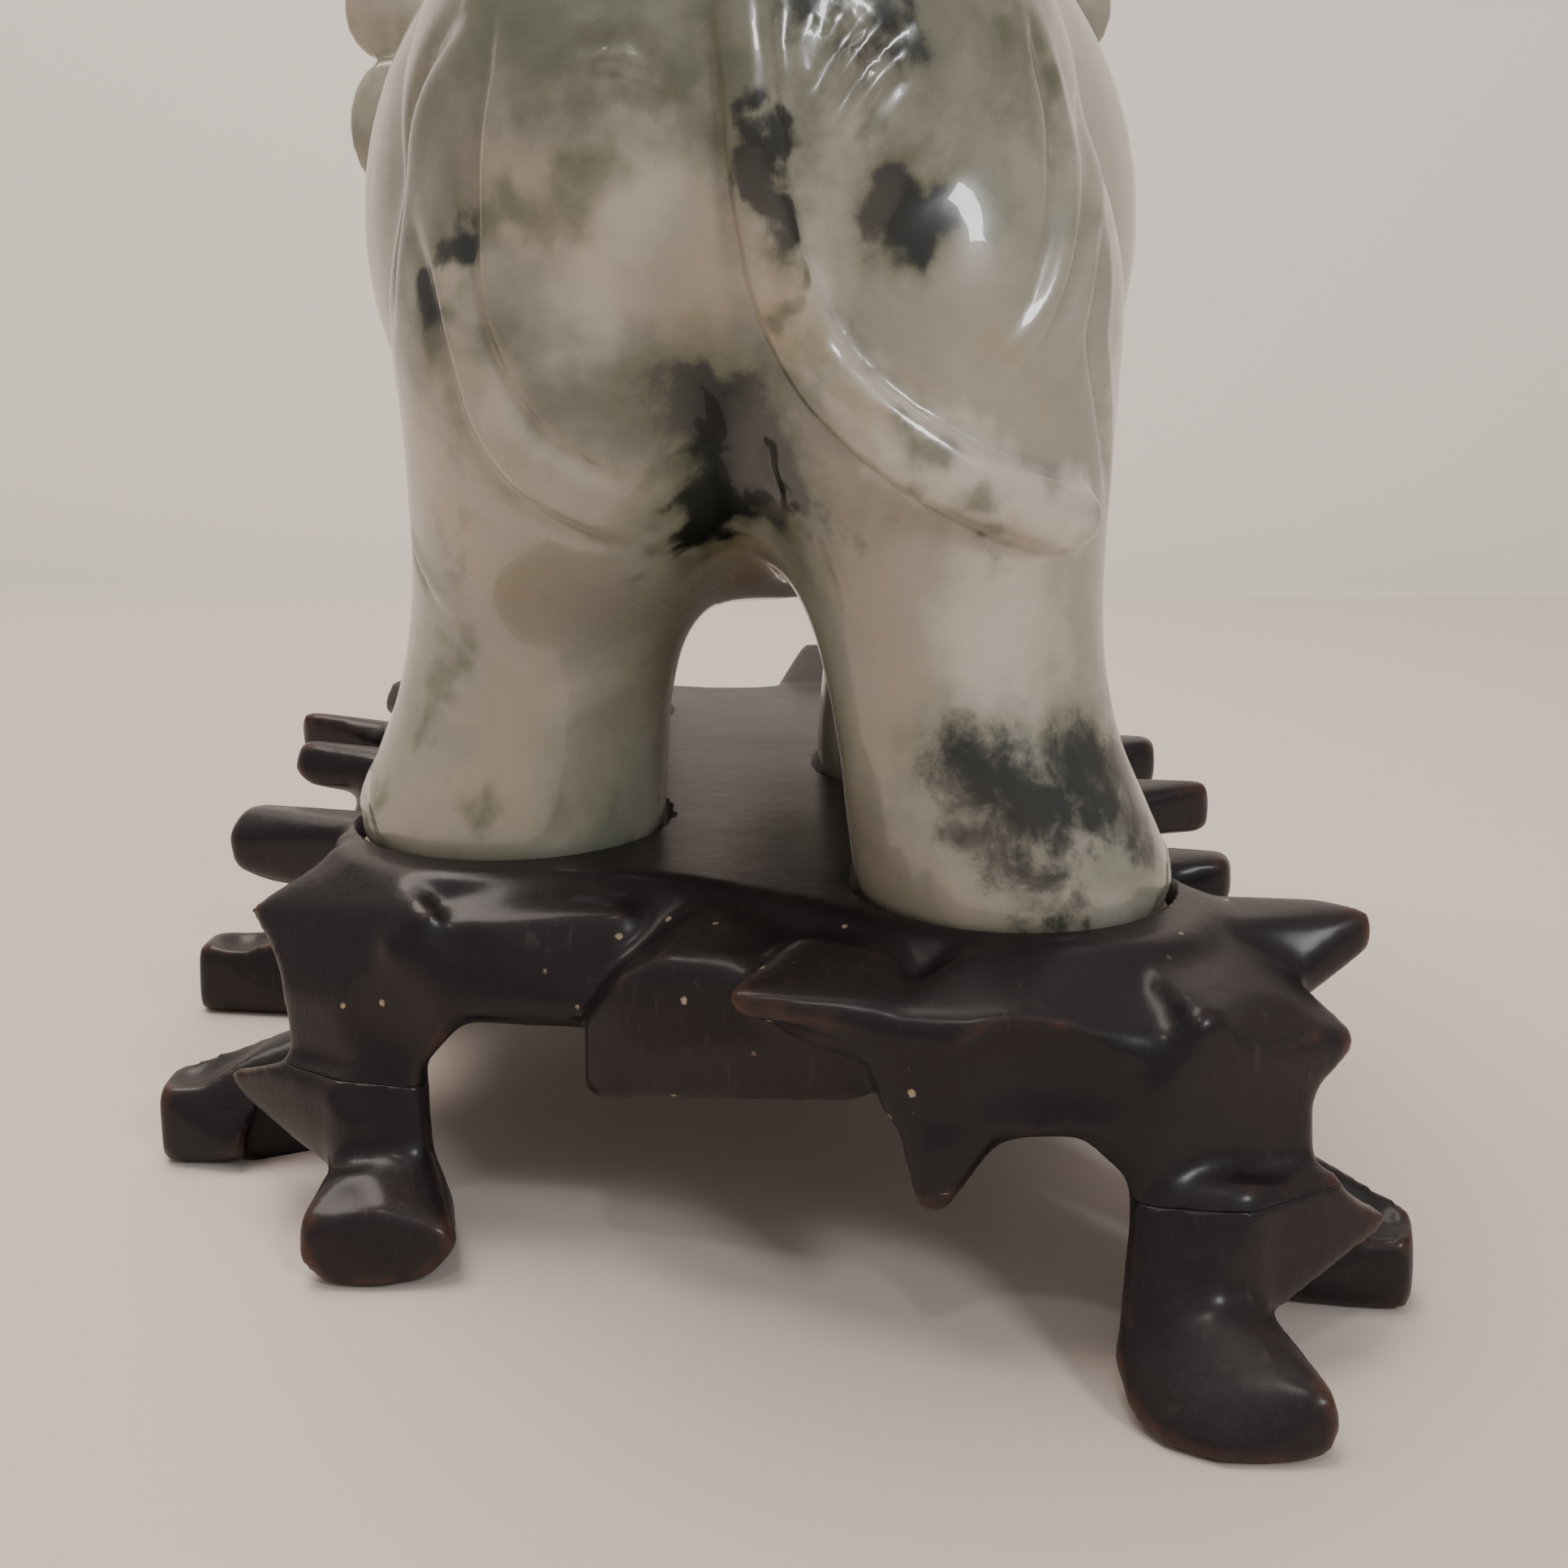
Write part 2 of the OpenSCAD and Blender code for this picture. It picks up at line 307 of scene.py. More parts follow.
def noise(shade, place, scale, detail=3.0, distortion=0.0, rough=0.5):
    return shade.add("ShaderNodeTexNoise", Vector=place, Scale=scale, Detail=detail,
                     Distortion=distortion, Roughness=rough)


def new_material(name):
    """An empty material: its maths, its main shader node and its object coordinates."""
    material = bpy.data.materials.new(name)
    material.use_nodes = True
    tree = material.node_tree
    shader = tree.nodes["Principled BSDF"]
    shade = Shade(tree)
    return material, shade, shader, shade.add("ShaderNodeTexCoord", out="Object")


def wire(shade, shader, **sockets):
    for name, value in sockets.items():
        key = name.replace("_", " ")
        if isinstance(value, Shade):
            shade.tree.links.new(value.socket, shader.inputs[key])
        else:
            shader.inputs[key].default_value = value


def bumps(shade, strength, distance, height):
    return shade.add("ShaderNodeBump", Strength=strength, Distance=distance, Height=height)


def rgb(r, g, b):
    return (r, g, b, 1.0)


def jade_material():
    """Pale grey-green stone with warm and white parts, green veins, near-black patches, painted light and
    shade.
    """
    material, shade, shader, place = new_material("mottled_jade")

    def patch(name):
        return shade.add("ShaderNodeAttribute", out="Fac", settings={"attribute_name": name})

    clouds = noise(shade, place, 30, 6, 0.8, 0.6)
    haze = noise(shade, place, 75, 8, 0.5, 0.65)
    mottle = noise(shade, place, 170, 8, 0.4, 0.72)
    speck = noise(shade, place, 320, 6, 0.3, 0.7)
    drift = noise(shade, place, 16, 3, 0.4)
    colour = drift.ramp(0.36, 0.64).mix(rgb(0.315, 0.315, 0.262), rgb(0.375, 0.335, 0.262))
    colour = (clouds.ramp(0.42, 0.70) * 0.75).mix(colour, rgb(0.190, 0.205, 0.155))
    # pale parts of the stone, and painted light on the right leg and the outer right thigh
    pale = (patch("pale") + (haze - 0.5) * 0.7 + (drift - 0.5) * 0.6).ramp(0.35, 0.95)
    colour = (pale * 0.85).mix(colour, rgb(0.56, 0.525, 0.455))
    warm = (patch("warm") + (haze - 0.5) * 0.7).ramp(0.25, 0.9)
    colour = (warm * 0.8).mix(colour, rgb(0.37, 0.295, 0.205))
    # grey clouds of the stone, and painted shade on the rump's top and the left thigh
    grey = (patch("grey") + (haze - 0.5) * 0.9 + (clouds - 0.5) * 0.9).ramp(0.15, 0.95)
    colour = (grey * 0.8).mix(colour, rgb(0.135, 0.142, 0.112))
    # green veins and patches of the stone; on the left thigh's outside they are also painted shade
    green = patch("green") + (haze - 0.5) * 1.1 + (clouds - 0.5) * 0.9 + (mottle - 0.5) * 0.6
    colour = (green.ramp(0.20, 1.0) * 0.8).mix(colour, rgb(0.070, 0.086, 0.040))
    # near-black patches of the stone, and a painted shadow under the tail's end
    dark_and_shadow = patch("dark_and_shadow") + (haze - 0.5) * 0.9 + (mottle - 0.5) * 1.1 + (speck - 0.5) * 0.4
    colour = (dark_and_shadow.ramp(0.36, 0.84) * 0.98).mix(colour, rgb(0.0050, 0.0080, 0.0070))
    fleck = speck.ramp(0.72, 0.80)
    colour = (fleck * 0.35).mix(colour, rgb(0.16, 0.17, 0.12))
    bump = bumps(shade, 0.10, 0.0004, noise(shade, place, 110, 3) + speck * 0.12)
    wire(shade, shader, Base_Color=colour, Normal=bump, Roughness=0.20 + haze * 0.16,
         Coat_Weight=0.6, Coat_Roughness=0.04, IOR=1.6,
         Subsurface_Weight=0.22, Subsurface_Radius=(1.0, 0.85, 0.55), Subsurface_Scale=0.003)
    return material


def wood_material():
    """Near-black lacquer, rubbed brown at the tips, dull in the hollows, with scratches and dust."""
    material, shade, shader, place = new_material("dark_lacquered_wood")
    patches = noise(shade, place, 45, 5, 0.6)
    fine = noise(shade, place, 420, 6, 0.2, 0.7)
    stretch = shade.add("ShaderNodeMapping", Vector=place, Scale=(700, 700, 90), Rotation=(0.3, 0.2, 0))
    scratch = noise(shade, stretch, 1.0, 4, 0.6, 0.7)
    crumbs = shade.add("ShaderNodeTexVoronoi", Vector=place, Scale=210.0)
    wear = shade.add("ShaderNodeAttribute", out="Fac", settings={"attribute_name": "wear"})
    colour = patches.ramp(0.35, 0.7).mix(rgb(0.0060, 0.0040, 0.0054), rgb(0.0130, 0.0080, 0.0090))
    worn = (wear + (fine - 0.5) * 0.9 + (patches - 0.5) * 0.9).ramp(0.55, 1.35)
    colour = (worn * 0.75).mix(colour, rgb(0.075, 0.030, 0.018))
    dust = (0.10 - crumbs + (fine - 0.5) * 0.3).ramp(0.0, 0.05)
    dust = dust * noise(shade, place, 24, 3).ramp(0.56, 0.60)
    colour = (dust * 0.8).mix(colour, rgb(0.42, 0.34, 0.22))
    rubbed = scratch.ramp(0.56, 0.72) * patches.ramp(0.46, 0.58)
    colour = (rubbed * 0.5).mix(colour, rgb(0.045, 0.036, 0.032))
    rough = 0.34 + fine * 0.16 + patches * 0.22 + dust * 0.3
    bump = bumps(shade, 0.45, 0.0004,
                 fine * 0.5 + scratch * 0.7 + noise(shade, place, 90, 4) * 3.4)
    wire(shade, shader, Base_Color=colour, Roughness=rough, Normal=bump,
         Specular_IOR_Level=0.2, Coat_Weight=0.36, Coat_Roughness=0.24)
    return material


def plain_material(name, colour, spread, scale, rough):
    material, shade, shader, place = new_material(name)
    grain = noise(shade, place, scale, 4)
    darker = tuple(c * spread for c in colour)
    bump = bumps(shade, 0.3, 0.0003, grain)
    wire(shade, shader, Base_Color=grain.ramp(0.3, 0.7).mix(rgb(*darker), rgb(*colour)),
         Roughness=rough + grain * 0.15, Normal=bump)
    return material


JADE = jade_material()
WOOD = wood_material()
IVORY = plain_material("pale_tusk_stone", (0.66, 0.60, 0.48), 0.85, 120, 0.2)
WAX = plain_material("setting_wax", (0.46, 0.38, 0.26), 0.6, 400, 0.5)
PEG = plain_material("peg_wood", (0.30, 0.19, 0.10), 0.6, 200, 0.6)


def attribute(obj, name, values):
    """Stores one number for each corner of the skin, which a material reads by that name."""
    layer = obj.data.attributes.new(name, "FLOAT", "POINT")
    layer.data.foreach_set("value", np.clip(values, 0, 1).astype(np.float32))


def dress(obj, material, body):
    obj.data.materials.clear()
    obj.data.materials.append(material)
    obj.data.shade_smooth()
    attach(obj, body)


# ---------------------------------------------------------------- the elephant

def elephant_leg(clay, foot, ankle, knee, thigh, thigh_r):
    (x, y), r = foot
    ankle_r = r * 0.87
    clay.hull(((x, y, SOLE_Z), r - 0.8, 1), ((x, y, 0), r, 3), ((*ankle, 16), ankle_r, 1))
    clay.hull(((*ankle, 16), ankle_r, 1), ((*knee, 26), ankle_r + 0.4, 1))
    clay.hull(((*knee, 26), ankle_r + 0.4, 1), (thigh, thigh_r))


def elephant_body(clay):
    clay.egg((0.6, -4, 72), (48.5, 50, 47))
    clay.egg((1, 30, 80), (36.5, 35, 34))
    clay.egg((1, 12, 78), (40, 36, 37.5))
    clay.egg((17.5, 27, 60), (22.8, 30, 33))
    clay.egg((-17.7, 32, 60), (22.8, 30, 33))
    clay.egg((16, -32, 66), (23, 23, 34))
    clay.egg((-16, -28, 66), (23, 23, 34))
    elephant_leg(clay, HIND_LEFT, (27.4, 16), (25, 17.8), (19.6, 24, 50), (20.6, 29, 22))
    elephant_leg(clay, HIND_RIGHT, (-25, 42), (-23, 39), (-19.8, 32, 50), (20.4, 29, 22))
    elephant_leg(clay, FORE_LEFT, (31, -46), (29, -42), (21, -36, 52), (18, 20, 18))
    elephant_leg(clay, FORE_RIGHT, (-24, -16), (-25, -19), (-21, -26, 52), (18, 20, 18))


HEAD = Vector((3, -52, 97))
TRUNK_ROOT = Vector((3, -71, 87))
TRUNK_LOW = 26


def elephant_head(clay):
    clay.egg(HEAD, (26, 26, 27))
    for side in (1, -1):
        clay.egg(HEAD + Vector((side * 9, 3, 16)), (13, 15, 12))
        clay.egg(HEAD + Vector((side * 14, -13, -12)), (8, 9, 11))
        clay.egg(HEAD + Vector((side * 17, -14, 7)), (7, 6, 4))
    clay.hull((HEAD + Vector((0, -6, -20)), (10, 9, 7)), (HEAD + Vector((0, -17, -30)), (5, 5, 3.6)))


def trunk_course():
    """Middle of the trunk with its radius, from the root down and up again to the tip."""
    drop = TRUNK_ROOT.z - TRUNK_LOW
    steps = ((0, 0, 0), (0, -7, 0.22), (-1, -8, 0.45), (-2, -7, 0.68), (-4, -3, 0.88), (-6, 5, 1.0),
             (-8, 12, 0.98), (-10, 16, 0.86))
    path = curve_through([TRUNK_ROOT + Vector((x, y, -z * drop)) for x, y, z in steps], 3)
    last = len(path) - 1
    return [(p, (25 - 16 * (i / last) ** 0.8) / 2) for i, p in enumerate(path)]


def elephant_trunk(clay):
    course = trunk_course()
    clay.limb([tuple(p) for p, _ in course], [r for _, r in course])


def trunk_rings():
    """Wrinkles round the front of the trunk."""
    course = trunk_course()
    rings = []
    for i in range(2, len(course) - 2, 2):
        middle, radius = Vector(course[i][0]), course[i][1]
        run = (Vector(course[i + 1][0]) - Vector(course[i - 1][0])).normalized()
        across = Vector((1, 0, 0))
        ahead = run.cross(across).normalized()
        if ahead.y > 0:
            ahead = -ahead
        rings.append([tuple(middle + Vector((FIGURE_X, 0, BOARD_TOP))
                            + (across * math.sin(turn) + ahead * math.cos(turn)) * radius
                            + run * (1 - math.cos(turn)) * 1.5)
                      for turn in (-1.5, -1.1, -0.7, -0.3, 0.0, 0.3, 0.7, 1.1, 1.5)])
    return rings


# Lobes along an ear's edge, from the head's middle: out, back and up, with the lobe's half sizes
EAR_LOBES = (((36, 7, 17), (8, 3.4, 7)), ((46, 11, 15), (8, 3, 9)), ((50, 14, 7), (6, 2.8, 7)),
             ((49, 16, -9), (6.6, 2.8, 9.4)), ((43, 13, -15), (7, 3, 7)), ((34, 8, -21), (7, 3.2, 7)))


def elephant_ear(clay, side):
    """A folded fan of lobes that grows out of the head's side and sweeps back."""
    reach = 1.0 if side > 0 else 0.94
    root = HEAD + Vector((side * 20, 3, 0))
    for (out, back, up), (wide, thick, tall) in EAR_LOBES:
        place = HEAD + Vector((side * out * reach, back, up))
        clay.hull((root + Vector((0, 0, up * 0.7)), (4, 4, 7)), (place, (wide, thick, tall)))
        ridge = root.lerp(place, 0.72) + Vector((0, 2.2, 0))
        clay.hull((root + Vector((0, 1, up * 0.7)), (3, 3, 3)), (ridge, (3, 2.4, 3)))


def laid(tree, start, way):
    """Where a line from a place along a way first meets the skin."""
    hit = tree.ray_cast(start * MM, way)[0]
    return tuple((hit / MM) if hit else start)


def eye_lines(tree):
    """Lids of both eyes with the wrinkles round them, laid on the skin, and the middle of each eye."""
    lines = []
    middles = []
    for side in (1, -1):
        eye = HEAD + Vector((side * 40 + FIGURE_X, -15, BOARD_TOP + 1))
        way = Vector((-side, 0.35, 0)).normalized()
        middles.append([laid(tree, eye + Vector((0, y, 0)), way) for y in (-1.0, 1.0)])
        for rise, long in ((4.6, 6.0), (2.3, 4.6), (-2.0, 4.4), (-4.0, 5.4)):
            lines.append([laid(tree, eye + Vector((0, long * math.sin(t), rise * math.cos(t))), way)
                          for t in (-1.5, -0.8, 0.0, 0.8, 1.5)])
    return lines, middles


def nail_lines(tree):
    """Outlines of four nails on the front of each foot, laid on the skin."""
    lines = []
    for (x, y), r in FEET:
        for nail in (-140, -108, -76, -44):
            line = []
            for turn, height in ((-12, 1), (-11, 5), (0, 7.6), (11, 5), (12, 1)):
                angle = math.radians(nail + turn)
                way = Vector((math.cos(angle), math.sin(angle), 0))
                start = Vector((x + FIGURE_X, y, BOARD_TOP + height)) + way * (r + 12)
                line.append(laid(tree, start, -way))
            lines.append(line)
    return lines


# Where along the tail the creases of its edges start, as a point of its course
TAIL_EDGE_START = 12
# Course of the tail: across, height above the board, half width, and how far its ridge stands out
TAIL = ((3.0, 108, 1.8, 0.8), (2.0, 101, 2.2, 1.6), (0.6, 92, 2.5, 2.4), (-0.2, 84, 2.7, 2.6),
        (-1.0, 76.4, 2.9, 2.8), (-2.0, 70, 3.1, 2.9), (-3.6, 63.6, 3.3, 3.0), (-7.2, 57.2, 3.6, 3.1),
        (-12.0, 52.2, 3.7, 3.1), (-17.6, 48.2, 3.8, 3.1), (-23.4, 45.2, 3.8, 3.1),
        (-28.8, 43.2, 3.8, 3.0), (-32.6, 42.2, 3.4, 2.4))


def on_skin(tree, x, z):
    """The place and normal where a line from straight behind meets the skin, in millimetres."""
    far_behind = point(x + FIGURE_X, 150, z + BOARD_TOP)
    hit, normal, _, _ = tree.ray_cast(far_behind, Vector((0, -1, 0)))
    if hit is None or hit.y < 0:
        hit, normal, _, _ = tree.find_nearest(point(x + FIGURE_X, 40, z + BOARD_TOP))
    return hit / MM, normal


def laid_path(tree, path):
    """The path's points in the shared frame, laid on the skin from behind where they need it."""
    return [tuple(on_skin(tree, *spot)[0]) if len(spot) == 2
            else (spot[0] + FIGURE_X, spot[1], spot[2] + BOARD_TOP) for spot in path]


def elephant_tail(clay, obj):
    """A flattened cord with a ridge along it, lying on the rump and the right haunch."""
    tree = BVHTree.FromObject(obj, bpy.context.evaluated_depsgraph_get())
    course = curve_through(TAIL, 5)
    rings = []
    edges = ([], [])
    spots = [on_skin(tree, x, z) for x, z, _, _ in course]
    places = np.array([spot[0] for spot in spots])
    for _ in range(3):
        places[1:-1, 1] = (places[:-2, 1] + places[1:-1, 1] * 2 + places[2:, 1]) / 4
    for i, (spot, (x, z, half, proud)) in enumerate(zip(places, course)):
        run = Vector(places[min(i + 1, len(places) - 1)] - places[max(i - 1, 0)]).normalized()
        normal = (spots[i][1] + Vector((0, 0.8, 0))).normalized()
        normal = (normal - run * normal.dot(run)).normalized()
        across = run.cross(normal)
        ring = []
        for side, up in ((-1.0, -2.0), (-1.0, 0.3), (-0.78, 0.72), (-0.3, 0.95), (0.0, 1.0), (0.3, 0.95),
                         (0.78, 0.72), (1.0, 0.3), (1.0, -2.0)):
            ring.append(clay.bm.verts.new((Vector(spot) + across * side * half + normal * up * proud) * MM))
        rings.append(ring)
        for edge, side in zip(edges, (-1.12, 1.12)):
            edge.append(tuple(Vector(spot) + across * side * half + normal * 0.3))
    for one, other in zip(rings, rings[1:]):
        for j in range(len(one)):
            k = (j + 1) % len(one)
            clay.bm.faces.new((one[j], one[k], other[k], other[j]))
    clay.bm.faces.new(rings[0])
    clay.bm.faces.new(rings[-1][::-1])
    bmesh.ops.recalc_face_normals(clay.bm, faces=clay.bm.faces)
    end = places[-1]
    clay.shift = Vector((0, 0, 0))
    clay.egg((end[0], end[1] - 0.6, end[2]), (3.4, 2.8, 3.4))
    return edges


def join_into(obj, clay):
    """Adds the clay's shells to the object's mesh."""
    spare = clay.object("spare")
    bm = bmesh.new()
    bm.from_mesh(obj.data)
    bm.from_mesh(spare.data)
    bm.to_mesh(obj.data)
    bm.free()
    bpy.data.objects.remove(spare)


# Folds cut in the skin, relative to the figure: path, depth, width and the height of the raised side.
# A path's points are (across, up) where they are laid on the skin from behind, or (across, back, up).
FOLDS = (
    # left thigh: edge, outer, inner and low fold
    (((26.5, 90.5), (31.5, 86.5), (34.5, 81.5), (36, 75), (37, 69.5), (38, 62)), 1.4, 1.7, 0.5),
    (((35, 72.5), (32.5, 66), (30.5, 57.5), (29, 51.5), (26, 46), (21.5, 42), (17, 39.5), (13, 38)), 0.9,
     1.1, 0.45),
    (((23.5, 90.5), (24.5, 85), (26, 78.5), (27, 69.5), (26.5, 62), (24, 55.5), (21, 51), (17, 47.5),
      (13, 45.5)), 0.9, 1.1, 0.45),
    (((40, 27, 38), (38, 30.5, 33.5), (34.5, 32.5, 30)), 0.7, 0.9, 0.4),
    # left of the tail's root
    (((14.5, 83), (11.5, 83), (8.5, 82), (6.5, 80)), 0.9, 0.8, 0.5),
    (((13, 81.5), (10, 81), (7.5, 79)), 0.7, 0.7, 0.4),
    (((11, 87.5), (9.5, 85.5), (7, 82.5)), 0.7, 0.8, 0.4),
    (((16, 85.5), (13.5, 86), (11, 85.5)), 0.5, 0.7, 0.3),
    # right of the tail's root
    (((-7.5, 78.5), (-10.5, 83), (-14.5, 87.5)), 0.9, 0.8, 0.5),
    (((-6, 81), (-8, 84.5), (-10.5, 88)), 0.8, 0.8, 0.4),
    (((-9, 76), (-12, 80.5), (-14.5, 83.5)), 0.6, 0.7, 0.4),
    (((-5, 83), (-6.5, 86), (-7.5, 88.5)), 0.6, 0.7, 0.3),
    # right thigh: inner, middle and low edge fold
    (((-27, 91.5), (-28.5, 86), (-30, 81), (-30, 75), (-29, 68.5), (-27, 63.5), (-23, 58.5)), 0.9, 1.2,
     0.5),
    (((-34, 85.5), (-34, 77.5), (-33, 69.5), (-31, 63), (-27.5, 58)), 0.9, 1.1, 0.5),
    (((-35, 72), (-35, 68), (-34.5, 62), (-34.5, 58.5), (-36.5, 50.5), (-37.5, 44.5)), 0.8, 1.1, 0.4),
    # ridge in the cleft
    (((-2, 50), (-2, 47), (-3, 44.5)), 0.6, 0.7, 0.3),
    # toenails of the hind feet, and the soles' rims
    (((50.5, 14, 9), (50.6, 17, 4), (49, 20, 0.5)), 0.6, 0.8, 0.3),
    (((48.8, 19, 10), (48.6, 23, 5), (46.6, 25.6, 1)), 0.6, 0.8, 0.3),
    (((-46.6, 9), (-47.4, 4), (-47.6, 0.5)), 0.6, 0.8, 0.3),
    (((-46, 9), (-46.4, 4), (-46, 0.5)), 0.5, 0.7, 0.3),
)

# Colours of the stone, some of them painted light and shade, relative to the figure: course of a patch, its
# half width and its strength
DARK_AND_SHADOW = (
    (((1.5, 52), (0, 48)), 7, 1.35),
    (((2, 46.5), (5, 40)), 4.6, 1.2),
    (((-1, 46), (-4, 44)), 3, 1.1),
    (((-14, 73.5), (-13, 71.5), (-16.5, 71.5)), 3.2, 1.15),
    (((-1.0, 79.5), (-1.8, 74), (-2.8, 70)), 2.6, 1.25),
    (((1, 76), (2.5, 74.5)), 1.9, 0.7),
    (((-26, 15), (-32.5, 15), (-39.5, 12)), 7, 0.85),
    (((-24.5, 8.5), (-31, 7), (-34.5, 10.5)), 6, 0.75),
    (((-28.5, 1.5), (-33, 1)), 4.4, 0.7),
    (((-37.5, 24), (-41, 15.5), (-42, 9.5)), 2.2, 0.65),
    (((28.5, 69), (32.5, 65)), 3, 1),
    (((-6.5, 40.5), (-12.5, 41.5)), 3.2, 0.55),
    # painted shadow under the end of the tail
    (((-23.5, 40.5), (-28, 39)), 1.4, 0.5),
    (((-9, 85), (-14, 87.5)), 3.6, 0.85),
    (((-4.5, 89), (-6.5, 88.5)), 3.6, 0.95),
    (((8.5, 84.5), (11.5, 87)), 1.5, 0.5),
    (((15, 76.5), (16.5, 73)), 1.4, 0.55),
    (((-20.5, 79), (-21.5, 73)), 0.8, 0.3),
    (((35, 41.5, 83.5), (39.5, 16.5, 91.5)), 1.6, 0.5),
    (((-0.5, 43), (-0.5, 41)), 1.4, 0.7),
    (((29, 64), (24.5, 59.5)), 2.5, 0.35),
    (((5.5, 57), (3.5, 55.5)), 2.4, 0.4),
)
# Grey-green clouds of the stone, and painted shade that darkens the rump's top and the left thigh
GREY_AND_SHADE = (
    (((20, 96), (-14, 96)), 14, 1.1), (((36, 96), (37, 66)), 10, 1.1), (((30, 88), (33, 68)), 6, 0.8),
    (((22, 84), (30, 74)), 6, 0.7),
    (((22, 62), (10, 52)), 7, 0.7), (((-8, 96), (-22, 92)), 6, 0.4),
    (((-34, 70), (-34, 60)), 5, 0.35),
)
GREEN_AND_SHADE = (
    (((14.5, 76.5), (16.5, 72.5), (22, 70.5), (26, 68.5), (30.5, 64.5), (33, 62)), 3, 1),
    (((6.5, 80.5), (13, 81.5)), 2.6, 0.75),
    (((11.5, 87.5), (9.5, 85)), 3.2, 0.6),
    (((2.5, 87.5), (1, 82), (1.5, 77)), 6.5, 0.95),
    (((-3.5, 80), (-6.5, 83.5)), 6.5, 0.85),
    # green of the stone, and painted shade that darkens the outside of the left thigh
    (((39, 94), (39, 76), (37, 62)), 7, 0.9),
    (((-10, 79), (-12.5, 78)), 2.2, 0.95),
    (((-26.5, 88), (-31, 86.5)), 2.6, 0.95),
    (((-19.5, 87.5), (-24.5, 86.5)), 5, 0.45),
    (((31, 53), (30.5, 48), (26, 43)), 3, 0.6),
    (((29.5, 45), (31.5, 35), (34, 27.5)), 1.8, 0.75),
    (((35.5, 24.5), (37.5, 17.5), (39.5, 13.5)), 1.8, 0.7),
    (((11.5, 38), (9.5, 37), (6, 39.5)), 2.4, 0.75),
    (((24, 60.5), (19, 56), (13, 54), (6, 55)), 5.5, 0.55),
    (((-4.5, 66.5), (-3.5, 63)), 1.7, 1),
    (((-13.5, 52.5), (-17.5, 49)), 2.4, 0.75),
    (((-22, 44.5), (-24, 42.5)), 1.8, 0.8),
    (((46.5, 25, 3), (44.5, 26, 7.5)), 2, 0.8),
    (((34, 7), (34.5, 5.5)), 1.8, 0.9),
    (((-12, 4), (-13.5, -1.5)), 2, 0.5),
    (((-44, 5.5), (-44.5, 2.5)), 2.2, 0.9),
    (((16, 85.5), (19.5, 82)), 5, 0.8),
    (((22, 88), (20, 98), (8, 102)), 7, 0.7), (((-10, 98), (-24, 100)), 8, 0.7),
    (((-19, 13), (-20, 7)), 3, 0.45),
    (((-30, 30.5), (-30.5, 26)), 2, 0.3),
    (((-24.5, 54.5, 82), (-36, 24, 87)), 4.5, 0.5),
    (((-16, 77), (-18, 73.5)), 3, 0.45),
    (((35, 43), (34.5, 38.5)), 2, 0.5),
    (((-26, 38), (-34, 36.5)), 3, 0.35),
    (((-6, 68.5), (-9, 62.5)), 3.5, 0.25),
    (((22, 31.5, 4), (13.5, 21.5, 0.5)), 3, 0.35),
    (((-24.5, 2), (-34.5, 2)), 3, 0.4),
    (((20, -40, 108), (6, -20, 118), (-12, 0, 117)), 7, 0.7), (((44, -30, 70), (48, -5, 84)), 6, 0.6),
    (((-46, -10, 60), (-48, 4, 86)), 6, 0.6), (((3, -78, 92), (2, -84, 70), (-4, -76, 44)), 4, 0.5),
    (((40, -44, 30), (46, -40, 8)), 4, 0.6), (((50, -38, 100), (56, -36, 84)), 5, 0.5),
    (((-44, -38, 106), (-50, -36, 88)), 5, 0.6),
)
WARM = (
    (((3.5, 70.5), (4.5, 62.5), (5, 55.5)), 5, 0.7),
    (((-1, 66.5), (-6, 58), (-10.5, 53.5)), 3.2, 0.9),
    (((-25.5, 41.5), (-31, 41)), 2.4, 0.5),
    (((37, 47.5), (31, 40), (25.5, 33.5)), 6.5, 0.7),
    (((-11, 42.5), (-13, 31), (-14.5, 20)), 6, 0.75),
    (((42, 21, 79), (41, 23.5, 70)), 4.5, 0.6),
    (((-30.5, 35.5), (-31.5, 23.5)), 5, 0.5),
    (((29, 20.5), (31.5, 7.5)), 7, 0.55),
    (((-29, 55), (-24, 59)), 1.6, 0.9),
    (((-28, 55), (-28.5, 53.5)), 1.4, 0.8),
    (((15, 48.5), (10, 45)), 5, 0.4),
    (((-33.5, 73), (-32.5, 61)), 3.5, 0.35),
    (((0.5, 37.5, 38.5), (-1, 19, 30.5)), 5, 0.9),
    (((44, -8, 50), (49, -2, 66)), 8, 0.7), (((-40, -8, 40), (-46, 2, 56)), 8, 0.7),
    (((16, -52, 60), (0, -62, 80)), 8, 0.7), (((-30, -24, 20), (-30, -18, 6)), 6, 0.6),
)
PALE_AND_PAINTED_LIGHT = (
    (((12, 72), (14, 61)), 7.5, 0.8),
    (((22.5, 52), (18, 48.5)), 5, 0.6),
    (((-20, 66.5), (-25.5, 68.5)), 7, 0.35),
    (((-14.5, 37), (-16.5, 28.5)), 5, 0.4),
    (((20.5, 29.5), (23.5, 15.5)), 7, 0.45),
    (((-18.5, 4), (-17, 1.5)), 4, 0.4),
    (((-2, 68), (-8, 57), (-16, 50), (-26, 45), (-33, 42)), 5, 1.2),
    # painted light: the lit right leg and the outside of the right thigh made paler
    (((-27, 36), (-27, 26)), 8, 1), (((-38, 74), (-38, 50)), 6, 0.9),
    (((20, -30, 100), (34, -12, 96)), 9, 0.6), (((-24, -30, 100), (-34, -12, 92)), 9, 0.6),
)


